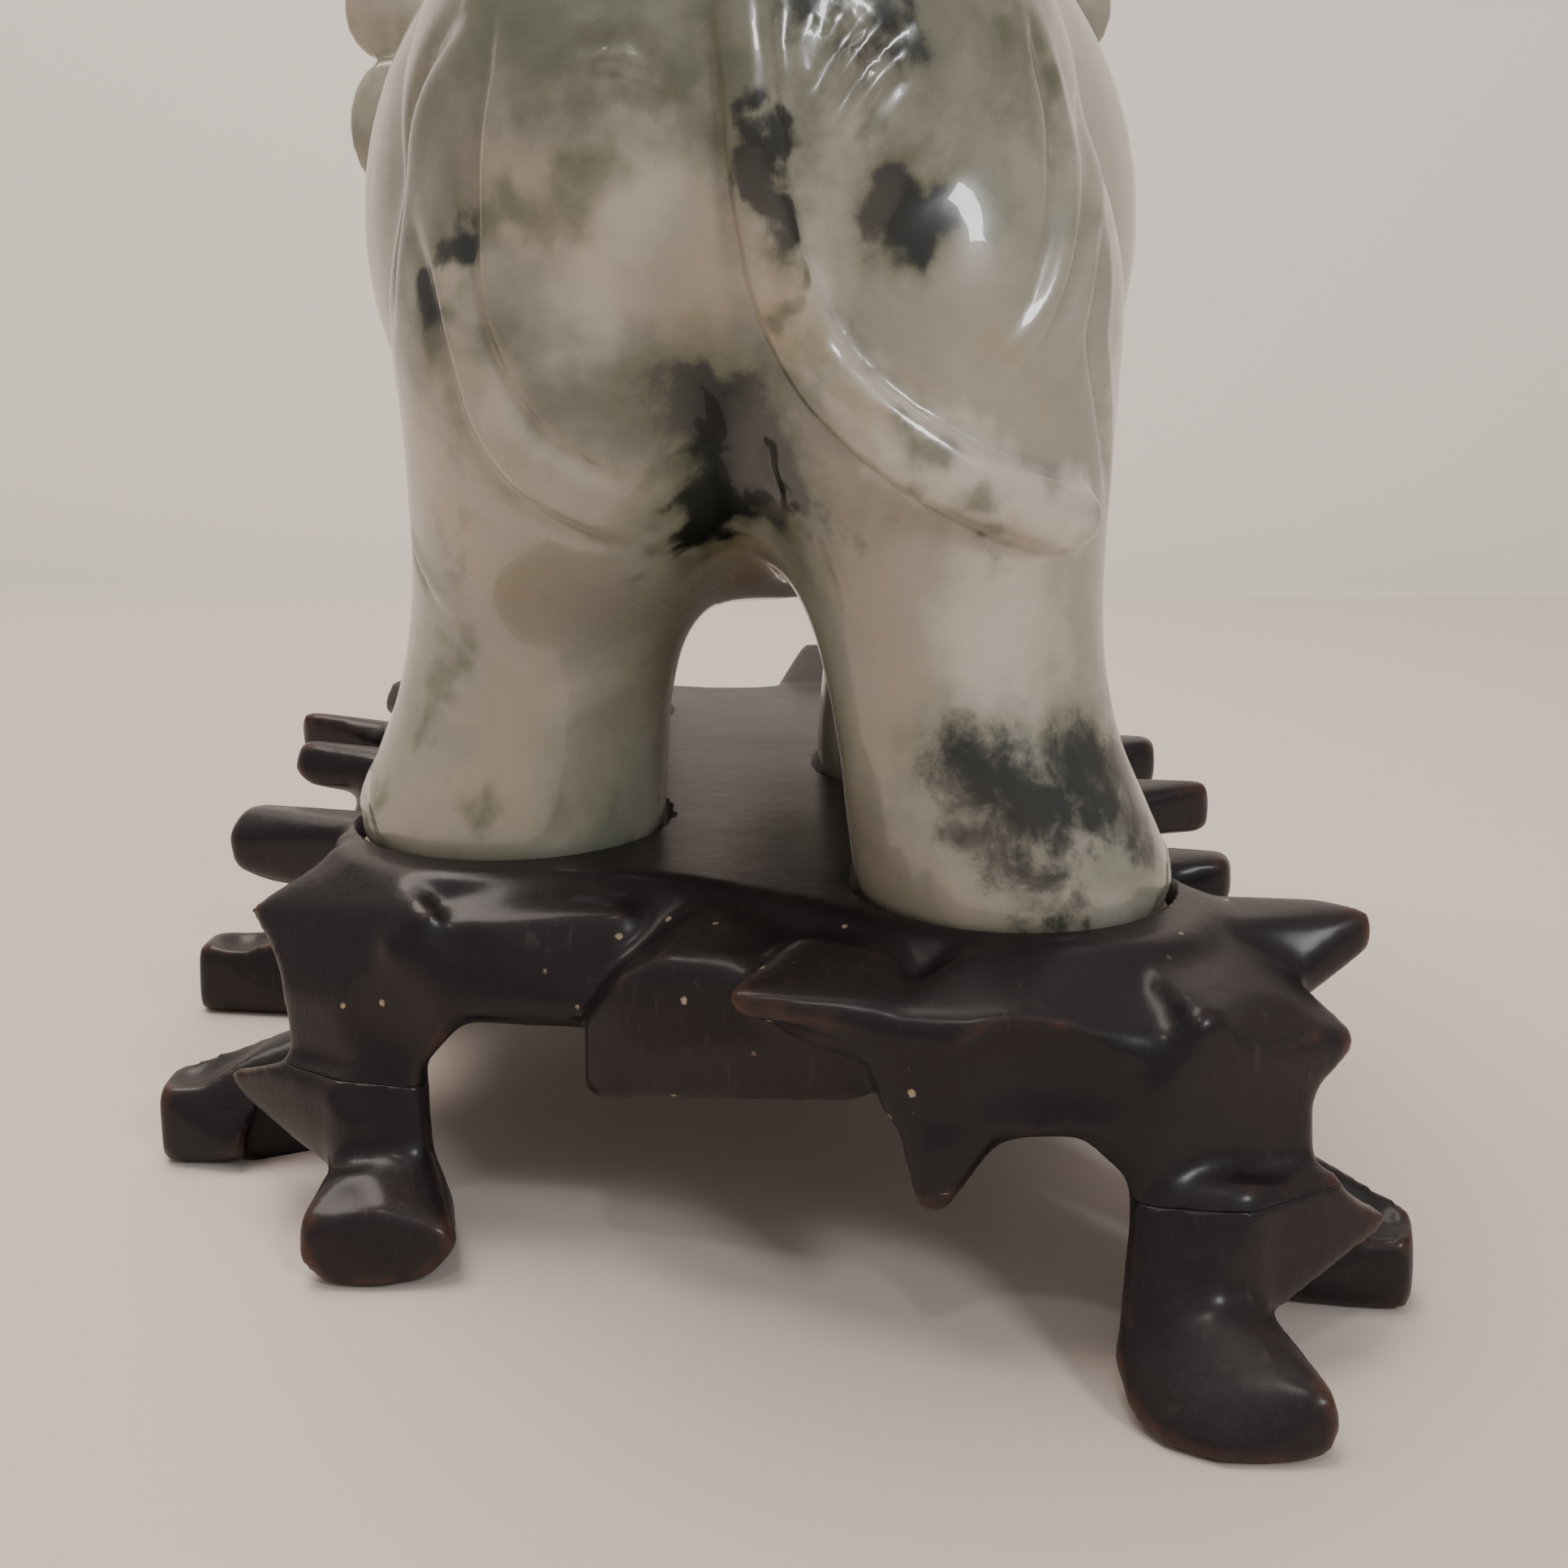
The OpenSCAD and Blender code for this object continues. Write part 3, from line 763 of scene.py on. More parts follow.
def drifted(places):
    """The places moved about by up to about 2 mm in slow and quick waves, so that edges wander."""
    moved = places.copy()
    for amount, length in ((1.3, 15.0), (0.9, 6.3), (0.55, 2.7)):
        turns = places * (2 * math.pi / length)
        for axis in range(3):
            one, other = turns[:, (axis + 1) % 3], turns[:, (axis + 2) % 3]
            moved[:, axis] += amount * np.sin(one + 0.7 * np.sin(other * 0.83 + axis * 2.1) + axis * 1.3)
    return moved


def painted(tree, places, strokes, spread=1.0, share=1.0):
    """How strongly each place is covered by the patches, from 0 to 1."""
    cover = np.zeros(len(places))
    for course, half, strength in strokes:
        far, _, _ = measure(places, np.array(laid_path(tree, course)))
        cover = np.maximum(cover, share * strength * np.exp(-(far / (half * spread)) ** 2 * 0.8))
    return cover


# Skin of the elephant: faces of the rough and the finished skin, and the share of faces kept
ROUGH_VOXEL = 1.5
ELEPHANT_VOXEL = 0.8
KEPT_SHARE = 0.62
# Height of the step between haunch and leg, and how far the softening reaches
HAUNCH_STEP_Z = 36
HAUNCH_REACH = 13


def make_elephant():
    shift = (FIGURE_X, 0, BOARD_TOP)
    clay = Clay(shift)
    elephant_body(clay)
    elephant_head(clay)
    obj = clay.object("elephant")
    fuse(obj, ROUGH_VOXEL)
    relax(obj, 14)
    soften(obj, BOARD_TOP + HAUNCH_STEP_Z, HAUNCH_REACH, 70)
    details = Clay(shift)
    elephant_trunk(details)
    elephant_ear(details, 1)
    elephant_ear(details, -1)
    tail_edges = elephant_tail(details, obj)
    join_into(obj, details)
    fuse(obj, ELEPHANT_VOXEL)
    relax(obj, 2)
    for path in tail_edges:
        crease(obj, path[TAIL_EDGE_START:], 0.75, 0.8)
    tree = BVHTree.FromObject(obj, bpy.context.evaluated_depsgraph_get())
    lids, eyes = eye_lines(tree)
    for path in eyes:
        crease(obj, path, -1.3, 1.5)
    for path in trunk_rings() + lids + nail_lines(tree):
        crease(obj, path, 0.65, 0.75, 0.25)
    for path, depth, width, lip in FOLDS:
        crease(obj, laid_path(tree, path), depth, width, lip)
    relax(obj, 1)
    thin_out(obj, KEPT_SHARE)
    places = drifted(corners(obj)[0])
    for name, strokes in (("dark_and_shadow", DARK_AND_SHADOW), ("warm", WARM), ("pale", PALE_AND_PAINTED_LIGHT)):
        attribute(obj, name, painted(tree, places, strokes))
    attribute(obj, "green", np.maximum(painted(tree, places, GREEN_AND_SHADE, 1.15),
                                       painted(tree, places, DARK_AND_SHADOW, 1.9, 0.8)))
    attribute(obj, "grey", painted(tree, places, GREY_AND_SHADE, 1.3))
    dress(obj, JADE, "figure")
    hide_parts("jade_elephant")
    return obj


# ---------------------------------------------------------------- the stand

# Edge of the board, rear left first, going forward round it: place, and how far the top edge stands in
RIM = ((47, 36, 4), (52, 26, 3), (49, 10, 2), (50, -8, 2), (51, -24, 3), (54, -38, 3), (51, -54, 3),
       (52, -67, 4), (34, -72, 4), (18, -76, 5), (2, -72, 4), (-13, -77, 5), (-32, -71, 4), (-48, -66, 4),
       (-46, -46, 2), (-50, -30, 3), (-48, -16, 2), (-51, -3, 3), (-46, 12, 2), (-50, 26, 2),
       (-54, 38, 3), (-58, 49, 4), (-56, 60, 6), (-46, 68, 6), (-30, 69, 8), (-16, 65, 9),
       (0, 55, 10), (12, 49, 10), (24, 47, 9), (36, 43, 5))

# Blocks of the rear edge, as the corners that each is carved between: place and radius
REAR_BLOCKS = (
    # left corner, with its upper thorn and the cusp over the arch
    ((57.5, 30, 34.6, 0.8), (47, 28, 40, 1.5), (44, 33, 40.4, 1), (33.5, 44.5, 38.6, 1),
     (38, 38, 40.4, 1), (51, 36, 27, 2.5), (37, 45, 27, 2.5), (42, 30, 27, 4)),
    # apron from that corner to the lobe, and the curve of its arch
    ((37, 43, 35, 2.5), (36, 45, 28.4, 2), (24, 45.6, 28.8, 2), (13, 48, 29, 2), (26, 40, 37, 3),
     (12, 43, 37, 3), (24, 36, 30, 5)),
    ((37, 45, 21, 2), (36, 45.4, 27, 2), (30.5, 45.8, 28.6, 2), (38, 38, 26, 3)),
    # lobe, flat on its left end
    ((14.4, 54.6, 22.4, 1.2), (14.4, 53, 29.5, 1.2), (10.6, 54.6, 33.6, 2), (5, 55.6, 36.4, 2.5),
     (-1, 56.6, 36.4, 3), (8.5, 56.6, 27, 2.4), (7.9, 56.6, 25, 1.4), (-7, 60, 27, 1.6),
     (-14, 64.4, 26.8, 1.6), (-16, 65, 34, 2.4), (0, 42, 36, 5), (10, 44, 29, 4)),
    ((14.4, 54.6, 22.2, 1), (12.2, 56, 22, 1.1), (7.9, 56.6, 26, 1.6), (14.2, 53, 28, 1.4),
     (9, 48, 27, 2)),
    # nose that stands out of the lobe
    ((-1.0, 67.4, 37.9, 0.9), (-3.4, 66.8, 36.4, 1.5), (-9, 66.4, 35.6, 2.8), (-16, 67, 35, 3.6),
     (-16, 61, 37.5, 3), (-9, 56, 38.2, 2.2)),
    # apron beside the nose, under the right socket
    ((-18, 68.5, 27, 2), (-17, 68.5, 35, 2.5), (-29.4, 70, 25.8, 2), (-38, 71, 26.6, 2),
     (-26, 63, 40, 1.5), (-40, 62, 40, 1.5), (-44, 71, 34, 2), (-30, 70.5, 35, 2.5), (-30, 50, 30, 6)),
    # drip
    ((-21.6, 71, 17.8, 2.0), (-18.8, 69.5, 27, 1.5), (-28, 70, 27, 2), (-22, 65, 28, 3),
     (-24.2, 70.5, 21, 1)),
    # curve of the arch beside the right leg, and of the drip
    ((-43, 72, 21, 2), (-43, 71.6, 27, 2), (-36.5, 71.4, 27, 2), (-43, 62, 27, 3)),
    ((-25, 70, 23.5, 1.4), (-31, 70.4, 26, 1.6), (-24, 69, 28, 2), (-26, 64, 28, 3)),
    # right corner, with its knob and upper thorn
    ((-47.5, 72, 37.4, 1.1), (-42, 60, 40.2, 1), (-46, 53, 40.2, 1.5), (-55, 51, 38.5, 2),
     (-65.2, 64, 31.9, 0.8), (-59, 66, 28, 2), (-43, 72, 29, 2.5), (-48, 60, 28, 5)),
)

# Branch ends round the board, each as the corners that it is carved between
STUBS = (
    ((63.6, 10, 41, 0.9), (65.2, 12, 38.4, 0.9), (64.6, 12, 34.8, 0.9), (61, 11, 33, 1),
     (63.4, 5, 39.6, 1.4), (63.8, 5, 34.6, 1.4), (48, 17, 40.4, 1.4), (48, 14, 34, 3), (48, 6, 36, 4)),
    ((65.4, -26, 41.4, 0.8), (66.2, -25, 38, 0.9), (64, -24, 36.6, 0.9), (66, -31, 40, 1.2),
     (65, -31, 36.5, 1.2), (48, -20, 39, 2), (48, -28, 36, 4)),
    ((68.8, -40, 43, 0.8), (69.4, -44, 41, 1.0), (68.8, -42, 37, 1.2), (55, -38, 38.6, 1.6),
     (48, -36, 38.5, 3), (48, -44, 36, 4)),
    ((62.6, -77, 40.6, 0.9), (60.4, -79.5, 40, 0.9), (63.4, -75, 36.8, 1.2), (60, -79, 36.6, 1.2),
     (50, -60, 38, 3), (44, -66, 36, 4)),
    ((17, -87, 40, 1), (23, -87, 39.6, 1), (17, -87, 36, 1), (22.6, -87, 35.6, 1), (14, -68, 37, 4),
     (24, -68, 37, 3)),
    ((-10.6, -83.6, 46, 1), (-15, -83.6, 45.6, 1), (-11, -85, 42.6, 1), (-14.6, -85, 42, 1),
     (-7, -68, 37, 4), (-17, -68, 37, 4)),
    ((-60.4, -78, 40.4, 1), (-62.4, -74, 40, 1), (-60, -78, 36.4, 1), (-62, -74, 36.4, 1),
     (-42, -66, 37, 4), (-47, -58, 37, 4)),
    ((-62, -30, 40.6, 1), (-62.6, -35, 40, 1), (-62.4, -30, 35.4, 1), (-62, -35, 35.2, 1),
     (-46, -25, 37, 4), (-46, -37, 37, 4)),
    ((-64, -3, 41, 1), (-64.8, -8, 39.6, 1), (-64.6, -4, 35.4, 1), (-64, -8.6, 35.2, 1),
     (-46, 2, 38, 3), (-46, -9, 37, 4)),
    ((-58.6, 32, 41, 1), (-59.6, 28, 40.4, 1), (-59, 32, 36.2, 1), (-58.6, 27.6, 35.6, 1),
     (-46, 33, 38.4, 2.5), (-46, 24, 37, 4)),
    ((-69.4, 51.5, 41.2, 0.9), (-70, 51.5, 38.2, 0.9), (-66, 47, 40.4, 1.2), (-66, 48, 36, 1.4),
     (-62.4, 54, 33.4, 1), (-55, 53, 40, 1.2), (-52, 44, 38, 3), (-55, 56, 32, 3)),
)

# Leg blocks, each as its foot's place and the shells that it is carved as
LEGS = {
    "stand_leg_rear_left": ((39, 52), (
        ((50.6, 37, 27, 2), (37, 45, 27, 2.5), (50, 38, 19, 2), (36.6, 45, 17, 2.3), (42, 34, 24, 4)),
        ((61, 34, 15, 0.7), (53, 40, 18.4, 0.7), (43.6, 46.2, 18.2, 1), (42.6, 47.6, 12, 1.2),
         (45, 44.5, 8, 1.2), (51, 40, 9.6, 0.9), (58, 36, 12.8, 0.8), (42, 40, 14, 4)),
        ((44, 46, 18, 1.5), (36.6, 45, 18, 2.4), (44.4, 46, 8, 2), (36, 47, 10, 2.3), (42, 40, 10, 3)),
        ((46.2, 56.6, 7.4, 0.9), (43.4, 56, 9.6, 0.8), (38, 55.6, 8.4, 0.8), (31, 56.4, 6, 0.9),
         (46.6, 57.4, 3.6, 0.9), (44, 57.8, 1, 1), (38.6, 58.2, 0.9, 1), (33, 57.6, 1.8, 1),
         (30.4, 56.6, 4.4, 0.9), (44, 46, 9, 1.6), (35.6, 46, 10, 1.8), (40, 44, 4, 4),
         (33.6, 47, 4, 2)))),
    "stand_leg_rear_right": ((-50, 84), (
        ((-59, 66, 27, 2), (-42.4, 71.6, 27, 2.5), (-59, 67, 21, 2), (-43.4, 72.6, 18, 2.3),
         (-50, 60, 24, 5)),
        ((-69.6, 66, 15, 0.7), (-62, 70, 19.6, 0.9), (-52, 75, 19, 1.5), (-68.4, 68, 13.4, 0.7),
         (-62.3, 71, 10.8, 0.9), (-55.4, 75, 8.6, 1.3), (-48, 77, 11, 2.5), (-52, 68, 15, 4)),
        ((-43.2, 73, 19, 2.2), (-52, 74, 19, 2.5), (-43.2, 74.6, 13, 2.2), (-52, 76.6, 9, 2),
         (-42, 78, 7, 2.5), (-50, 70, 9, 5)),
        ((-57.8, 88, 6, 0.9), (-54.8, 86.6, 6.4, 0.9), (-50.3, 86, 5.6, 0.9), (-44.6, 86, 3.6, 0.9),
         (-58.2, 88.6, 2.4, 0.9), (-56.6, 89, 1, 1), (-52.6, 89.6, 0.9, 1), (-47, 89.4, 0.9, 1),
         (-43.4, 87.4, 1.1, 1.1), (-41, 84, 2, 1.4), (-41, 79, 5, 2.2), (-52.4, 77, 8, 2.2),
         (-46, 76, 8, 4)))),
    "stand_leg_side_rear_left": ((65, 24), (
        ((49, 14, 33, 5), (47, 22, 33, 4), (49.6, 16, 19, 4.6), (49, 21, 12, 4.6)),
        ((50, 19, 12, 4.5), (55, 22, 5, 3.6), (71.2, 21, 9.6, 1), (71.6, 27, 9, 1), (71.4, 21, 1, 1),
         (71.4, 28, 1, 1), (62, 29, 3, 2)))),
    "stand_leg_side_rear_right": ((-68, 56), (
        ((-52, 44, 33, 5), (-50, 38, 33, 4), (-53.6, 46, 19, 5), (-55, 48, 12, 5)),
        ((-56, 49, 12, 5), (-62, 53, 5.6, 4), (-74.4, 57, 8.6, 1), (-73, 62, 8.4, 1), (-75, 58, 1.6, 1),
         (-73, 63, 1, 1), (-62, 60, 3, 3)))),
    "stand_leg_side_front_left": ((74, -27), (
        ((52, -22, 33, 5), (52, -30, 33, 5), (58, -26, 18, 5), (62, -27, 11, 5)),
        ((65, -13, 21, 0.8), (54, -20, 28, 3), (60, -26, 13, 4)),
        ((62, -27, 10, 4.5), (70, -27, 5, 3), (82.6, -24, 9.6, 1), (82.8, -31, 9, 1), (82.8, -23, 1, 1),
         (82.6, -32, 1, 1), (68, -22, 2, 2), (68, -32, 2, 2)))),
    "stand_leg_side_front_right": ((-74, -13), (
        ((-52, -9, 33, 5), (-52, -17, 33, 5), (-58, -13, 18, 5), (-62, -13, 11, 5)),
        ((-66, -27, 21, 0.8), (-54, -19, 28, 3), (-60, -14, 13, 4)),
        ((-62, -13, 10, 4.5), (-70, -13, 5, 3), (-82.6, -10, 9.6, 1), (-82.8, -17, 9, 1),
         (-82.8, -9, 1, 1), (-82.6, -18, 1, 1), (-68, -8, 2, 2), (-68, -18, 2, 2)))),
    "stand_leg_front_left": ((37, -80), (
        ((30, -58, 33, 5), (38, -58, 33, 5), (34, -64, 18, 5), (35, -68, 11, 5)),
        ((19, -73, 22, 0.8), (30, -66, 30, 3), (34, -68, 13, 4)),
        ((55, -73, 26, 0.8), (42, -64, 31, 3), (38, -67, 16, 4)),
        ((35, -69, 10, 4.5), (36, -76, 5, 3), (34, -88, 9.4, 1), (41, -88, 9, 1), (33, -88, 1, 1),
         (42, -88, 1, 1), (31, -74, 2, 2), (41, -74, 2, 2)))),
    "stand_leg_front_right": ((-37, -80), (
        ((-30, -58, 33, 5), (-38, -58, 33, 5), (-34, -64, 18, 5), (-35, -68, 11, 5)),
        ((-20, -72, 21, 0.8), (-30, -66, 30, 3), (-34, -68, 13, 4)),
        ((-54, -74, 25, 0.8), (-42, -64, 31, 3), (-38, -67, 16, 4)),
        ((-35, -69, 10, 4.5), (-36, -76, 5, 3), (-34, -88, 9.4, 1), (-41, -88, 9, 1), (-33, -88, 1, 1),
         (-42, -88, 1, 1), (-31, -74, 2, 2), (-41, -74, 2, 2)))),
}

# Where a peg joins each leg block to the board
PEG_PLACES = ((42, 39), (53, 15), (54, -26), (34, -62), (-34, -62), (-54, -13), (-55, 48), (-46, 69))

# Hollows that a round gouge leaves, each as the path of its middle with its radius
GOUGES = (
    # rear left: outside between the thorns, behind the branch end, on the corner's face and along the apron
    ((66, 24, 25.6, 11), (63.6, 34, 25.8, 10.4), (60, 48, 26, 9)),
    ((68, 23, 41, 8.5), (56, 24, 42, 7), (50, 25.5, 44.5, 4)),
    ((50, 64, 30, 22), (44, 66, 28, 22)),
    ((60, 50, 38, 12), (50, 52, 42, 12)),
    ((30.5, 57, 41.6, 13), (22, 58.6, 41.6, 13), (20.5, 59, 40, 10.5)),
    ((58, 49, 5, 9), (50, 52, 12, 4)),
    ((27.6, 56, 17.6, 6), (27.6, 40, 17.6, 6)),
    # insteps of the rear feet
    ((49, 61, 17, 6), (30, 61, 15, 6)),
    ((-37, 88, 13, 7), (-50, 89, 14, 7), (-62, 90, 14.6, 7)),
    ((56, 20, 2, 9), (50, 34, 3, 8)),
    # the lobe's own shallow face
    ((6, 66.5, 31, 5.2), (-6, 70.6, 30.6, 5.6), (-14, 75, 30, 6)),
    ((2, 60, 48.6, 9), (8, 52, 52, 12)),
    # round the drip
    ((-14, 73, 21, 4.6), (-14, 66, 20, 4.6)),
    ((-32.5, 80, 16.6, 7.6), (-33, 62, 16, 7.6)),
    ((-21.4, 72.6, 32, 1.6), (-21.8, 72.4, 26, 1.4)),
    # the apron's face, the right corner and outside between its thorns
    ((-30, 86, 32, 15.4), (-38, 88, 32, 15)),
    ((-57, 78, 40, 10), (-62, 66, 44, 9)),
    ((-60, 82, 26, 11), (-57, 84, 22, 9)),
    ((-73, 58, 24, 11.4), (-71.5, 66, 23.6, 10), (-70, 76, 23, 8)),
    ((-63, 86, 13, 7), (-66, 80, 4, 8)),
    ((-66, 59, 41.4, 5), (-58, 60, 44, 5)),
    ((-35, 84, 16.6, 6), (-35, 64, 16.6, 6)),
    # tops of the side feet
    ((69, 24, 15.2, 6), (62, 20, 18, 5)),
    ((-71, 60, 13, 5.4), (-66, 58, 16, 5)),
    ((77, -27, 15, 6.4), (68, -27, 18, 6)),
    ((-77, -13, 15, 6.4), (-68, -13, 18, 6)),
    ((37, -83, 15, 6.4), (36, -74, 18, 6)),
    ((-37, -83, 15, 6.4), (-36, -74, 18, 6)),
    # between the branch ends, left, front and right
    ((64, -8, 40, 9), (64, -8, 30, 11)),
    ((67, -34.5, 47, 5), (58, -34, 44, 4)),
    ((66, -60, 40, 9), (66, -60, 30, 11)),
    ((42, -84, 40, 9), (42, -84, 30, 11)),
    ((4, -86, 42, 9), (4, -86, 32, 10)),
    ((-34, -84, 42, 10), (-34, -84, 32, 10)),
    ((-62, -52, 42, 11), (-62, -52, 30, 11)),
    ((-64, -19, 42, 8), (-64, -19, 32, 9)),
    ((-62, 13, 42, 10), (-62, 13, 30, 10)),
    ((-66, 40, 44, 5), (-62, 40, 34, 6)),
)

# Skin of the stand: faces of the shells and of the finished skin, and how its wear follows its shape
CARVED_VOXEL = 1.0
SKIN_VOXEL = 0.75
WEAR_GAIN = 14
WEAR_BASE = 0.1
# Half the glue line, the height that every leg block reaches below, and the corners of a mere crumb
GLUE_HALF = 0.05
FOOT_TOP = 8.0
CRUMB = 50


def rim_rings():
    """The board's section rings from the bottom up, each as (points, height)."""
    places = np.array([p[:2] for p in RIM], float)
    insets = np.array([p[2] for p in RIM], float)
    wide = curve_through([*map(tuple, np.c_[places, insets]), (*places[0], insets[0])], 4)[:-1]
    flat = wide[:, :2]
    along = np.roll(flat, -1, 0) - np.roll(flat, 1, 0)
    inward = np.c_[-along[:, 1], along[:, 0]] / np.linalg.norm(along, axis=1)[:, None]
    if ((flat.mean(0) - flat[0]) @ inward[0]) < 0:
        inward = -inward
    inset = wide[:, 2:]
    for share, z in ((1.4, 25), (0.2, 25.5), (0.0, 30), (0.35, 36), (0.8, 40.5), (1.0, BOARD_TOP)):
        yield flat + inward * (inset * share), z


def board_slab(clay):
    bm = clay.bm
    rings = []
    for flat, z in rim_rings():
        verts = [bm.verts.new(point(x, y, z)) for x, y in flat]
        rings.append([bm.edges.new((a, b)) for a, b in zip(verts, verts[1:] + verts[:1])])
    for low, high in zip(rings, rings[1:]):
        bmesh.ops.bridge_loops(bm, edges=low + high)
    bmesh.ops.edgeloop_fill(bm, edges=rings[0])
    bmesh.ops.edgeloop_fill(bm, edges=rings[-1])
    bmesh.ops.recalc_face_normals(bm, faces=bm.faces)


def block(clay, corners_of):
    """One convex shell round small balls at the given corners."""
    clay.hull(*(((x, y, z), r) for x, y, z, r in corners_of))


def stand_shells(clay):
    board_slab(clay)
    for shell in REAR_BLOCKS + STUBS:
        block(clay, shell)
    for _, shells in LEGS.values():
        for shell in shells:
            block(clay, shell)
    for x, y in PEG_PLACES:
        clay.hull(((x, y, 27), 3.6), ((x, y, 12), 3.6))


def gouge(obj, path):
    """Presses the skin out of a round tube that runs along the path."""
    places, _ = corners(obj)
    path = np.array(path, float)
    for a, b in zip(path, path[1:]):
        t, middle = along(places, a[:3], b[:3])
        radius = a[3] + t * (b[3] - a[3])
        away = places - middle
        far = np.linalg.norm(away, axis=1)
        inside = far < radius
        push = radius[inside] / np.maximum(far[inside], 1e-6)
        places[inside] = middle[inside] + away[inside] * push[:, None]
    place_corners(obj, places)


def sink_sockets(obj):
    """Sinks the four foot sockets into the board, flat in the bottom and square at the edge."""
    clay = Clay((FIGURE_X, 0, BOARD_TOP))
    for (x, y), r in FEET:
        clay.disc((x, y, -SOCKET_DEPTH), r + SOCKET_GAP, 9)
    cutter = clay.object("cutter")
    step = obj.modifiers.new("sockets", "BOOLEAN")
    step.operation = "DIFFERENCE"
    step.object = cutter
    settle(obj)
    bpy.data.objects.remove(cutter)


def wear_of(obj):
    """How far each corner stands proud of its neighbours, in millimetres."""
    places, normals = corners(obj)
    linked = links(obj)
    lift = np.einsum("ij,ij->i", places - mean_around(places, linked), normals)[:, None]
    for _ in range(2):
        lift = (lift + mean_around(lift, linked)) / 2
    return lift[:, 0]


def split_stand(obj):
    """Cuts the carved stand at the glue line into the board and its leg blocks."""
    pieces = []
    for upper in (True, False):
        bm = bmesh.new()
        bm.from_mesh(obj.data)
        height = LEG_H + (GLUE_HALF if upper else -GLUE_HALF)
        found = bmesh.ops.bisect_plane(
            bm, geom=bm.verts[:] + bm.edges[:] + bm.faces[:], plane_co=point(0, 0, height),
            plane_no=(0, 0, 1), clear_inner=upper, clear_outer=not upper)
        rim = [e for e in found["geom_cut"] if isinstance(e, bmesh.types.BMEdge)]
        bmesh.ops.holes_fill(bm, edges=rim, sides=0)
        pieces.append(bm)
    return pieces


def make_stand():
    clay = Clay()
    stand_shells(clay)
    obj = clay.object("stand")
    fuse(obj, CARVED_VOXEL)
    relax(obj, 3)
    for path in GOUGES:
        gouge(obj, path)
    fuse(obj, SKIN_VOXEL)
    relax(obj, 4)
    places, _ = corners(obj)
    places[:, 2] = np.clip(places[:, 2], 0, None)
    place_corners(obj, places)
    attribute(obj, "wear", wear_of(obj) * WEAR_GAIN + WEAR_BASE)
    sink_sockets(obj)
    board, legs = split_stand(obj)
    bpy.data.objects.remove(obj)
    board = object_of(board, "carved_board")
    part_legs(legs, board)
    dress(board, WOOD, "stand")
    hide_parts("stand_board")


def hang_on_board(part, board):
    """Gives the board back a tip that hangs below the glue line but is no leg."""
    bmesh.ops.translate(part, verts=part.verts, vec=(0, 0, 2 * GLUE_HALF * MM))
    part.from_mesh(board.data)
    part.to_mesh(board.data)
    part.free()


def part_legs(bm, board):
    """Makes one piece of each loose leg block, named for the leg whose foot is nearest."""
    bm.verts.ensure_lookup_table()
    group = {}
    for start in bm.verts:
        if start in group:
            continue
        todo = [start]
        members = []
        group[start] = start
        while todo:
            v = todo.pop()
            members.append(v)
            for e in v.link_edges:
                other = e.other_vert(v)
                if other not in group:
                    group[other] = start
                    todo.append(other)
        if len(members) < CRUMB:
            continue
        part = bm.copy()
        part.verts.ensure_lookup_table()
        keep = {v.index for v in members}
        bmesh.ops.delete(part, geom=[v for v in part.verts if v.index not in keep], context="VERTS")
        if min(v.co.z for v in members) > FOOT_TOP * MM:
            hang_on_board(part, board)
            continue
        middle = sum((v.co for v in members), Vector()) / len(members) / MM
        node = min(LEGS, key=lambda n: (Vector(LEGS[n][0]) - middle.xy).length)
        name = node.replace("stand_", "carved_")
        dress(object_of(part, name), WOOD, "stand")
        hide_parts(node)
    bm.free()


# ---------------------------------------------------------------- floor, light, camera

FLOOR_BACK = -0.445
WALL_TOP = 1.6
LIT_POINT = Vector((0, 0, 0.08))
CAMERA_PITCH = 14.7


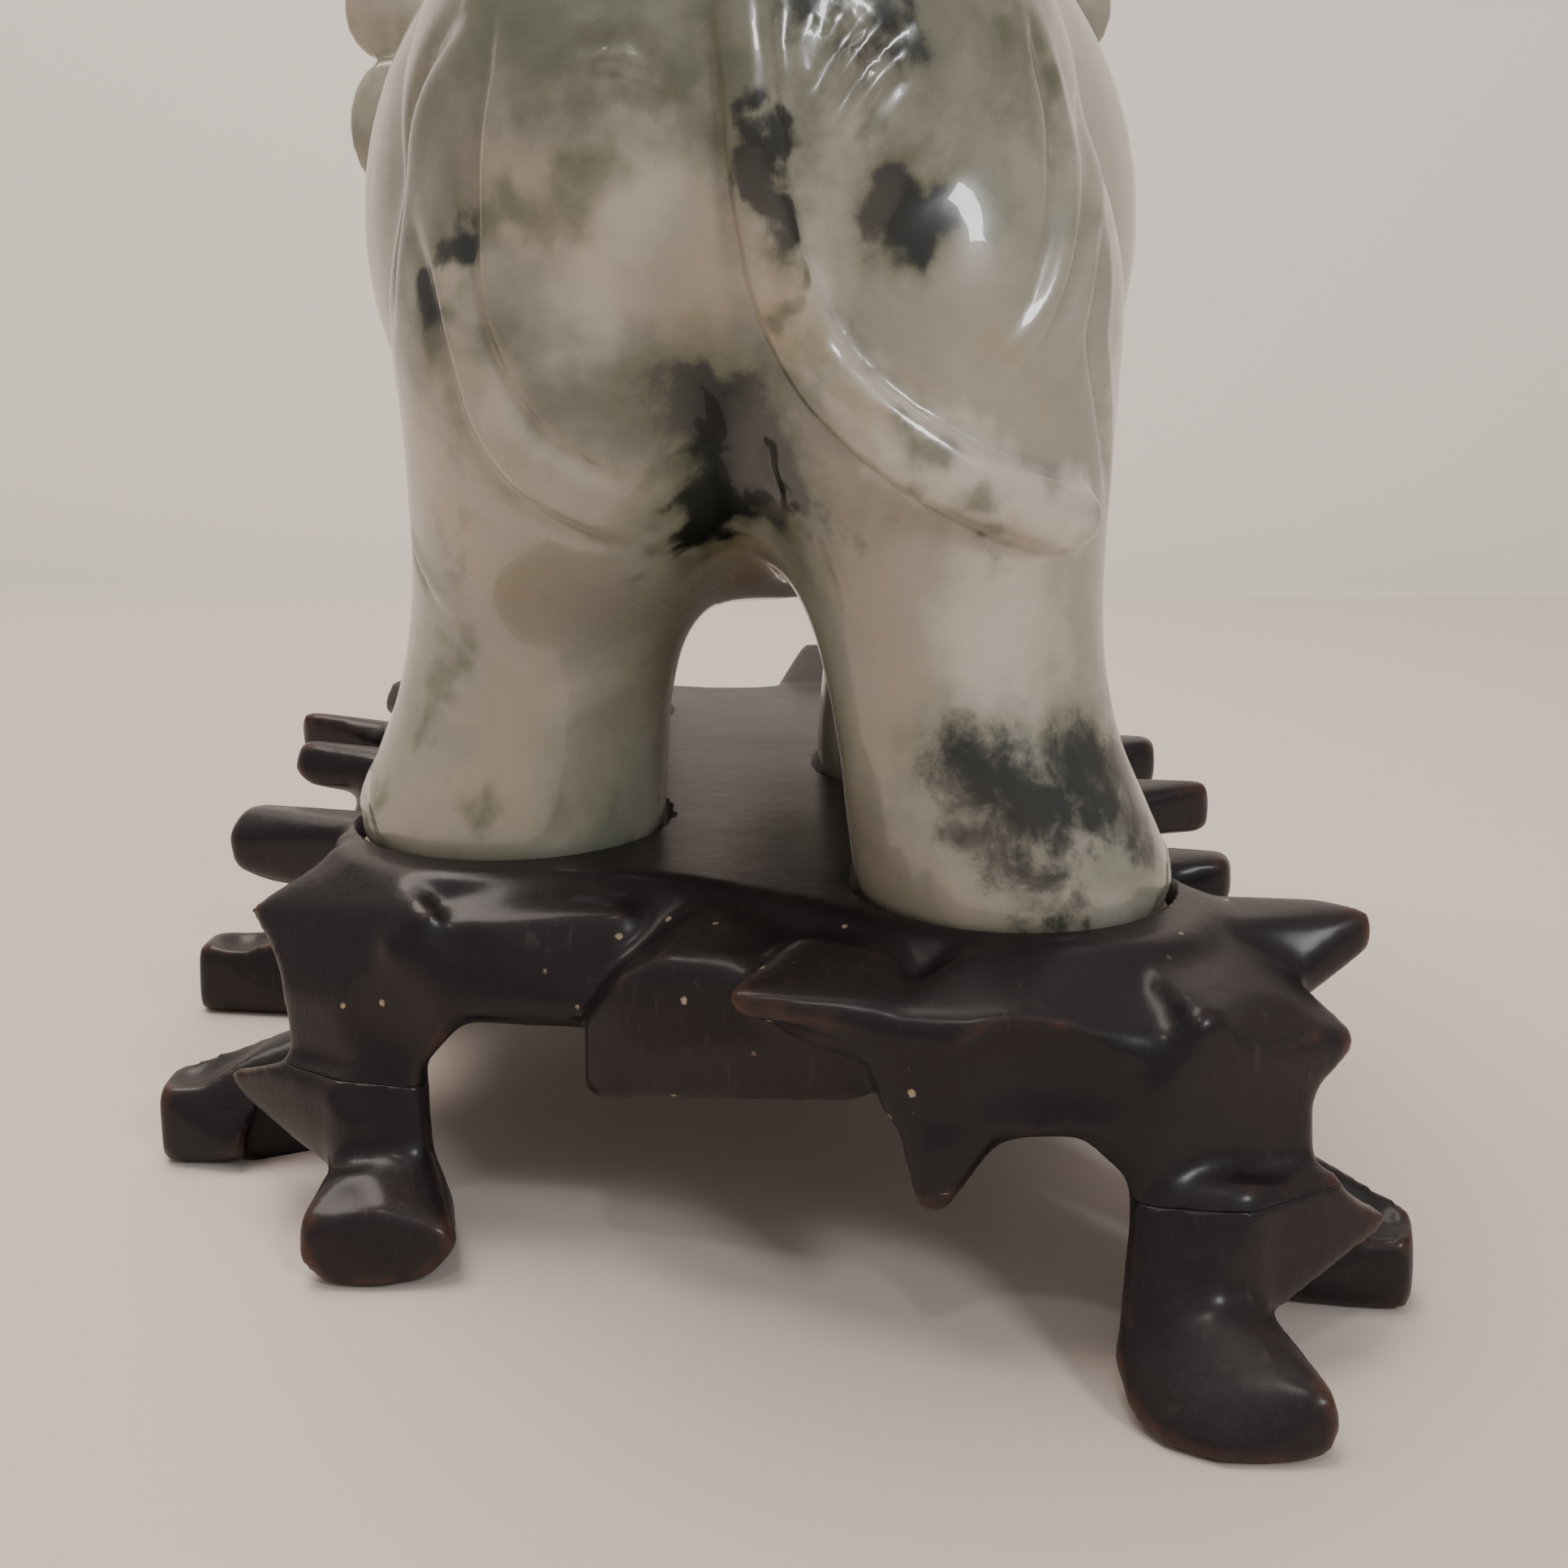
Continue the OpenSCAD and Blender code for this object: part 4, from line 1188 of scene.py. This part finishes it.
def make_stage():
    """A pale bench top with a pale wall behind it, under soft room light."""
    bm = bmesh.new()
    row = [[bm.verts.new((x, y, z)) for x in (-5, 5)]
           for y, z in ((6, 0), (FLOOR_BACK, 0), (FLOOR_BACK, -0.02), (FLOOR_BACK - 0.03, -0.02),
                        (FLOOR_BACK - 0.03, WALL_TOP))]
    for near, far in zip(row, row[1:]):
        bm.faces.new((near[0], near[1], far[1], far[0]))
    stage = object_of(bm, "floor")
    material, shade, shader, place = new_material("pale_floor")
    depth = shade.add("ShaderNodeSeparateXYZ", out="Y", Vector=place)
    wall = (FLOOR_BACK - depth).ramp(0.0, 0.01)
    wire(shade, shader, Base_Color=wall.mix(rgb(0.63, 0.56, 0.508), rgb(0.94, 0.905, 0.865)),
         Roughness=0.75)
    stage.data.materials.append(material)
    world = bpy.data.worlds.new("soft_room")
    bpy.context.scene.world = world
    world.use_nodes = True
    sky = world.node_tree.nodes["Background"]
    sky.inputs["Color"].default_value = rgb(0.86, 0.78, 0.74)
    sky.inputs["Strength"].default_value = 0.55
    for name, place, size, power, tint in (
            ("window", (-0.42, 0.62, 0.55), 0.16, 2.4, (0.96, 0.97, 1.0)),
            ("ceiling", (0.22, -0.15, 0.95), 0.6, 9.4, (1.0, 0.90, 0.82)),
            ("lamp", (0.02, 0.42, 0.75), 0.05, 0.5, (1.0, 0.93, 0.85))):
        light = bpy.data.lights.new(name, "AREA")
        light.size = size
        light.energy = power
        light.color = tint
        obj = in_scene(name, light)
        obj.location = place
        obj.rotation_euler = (LIT_POINT - Vector(place)).to_track_quat("-Z", "Y").to_euler()


def make_camera():
    """Behind the figure, a little above it, looking slightly down."""
    camera = bpy.data.cameras.new("camera")
    camera.lens = 41.0
    camera.sensor_width = 36.0
    obj = in_scene("camera", camera)
    obj.location = (-0.0065, 0.235, 0.104)
    obj.rotation_euler = (math.radians(90 - CAMERA_PITCH), 0, math.radians(180))
    bpy.context.scene.camera = obj


make_camera()
make_stage()
make_elephant()
make_stand()
for name, material in (("tusk_left", IVORY), ("tusk_right", IVORY), ("setting_wax", WAX),
                       ("leg_pegs", PEG)):
    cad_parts[name].data.materials.clear()
    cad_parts[name].data.materials.append(material)
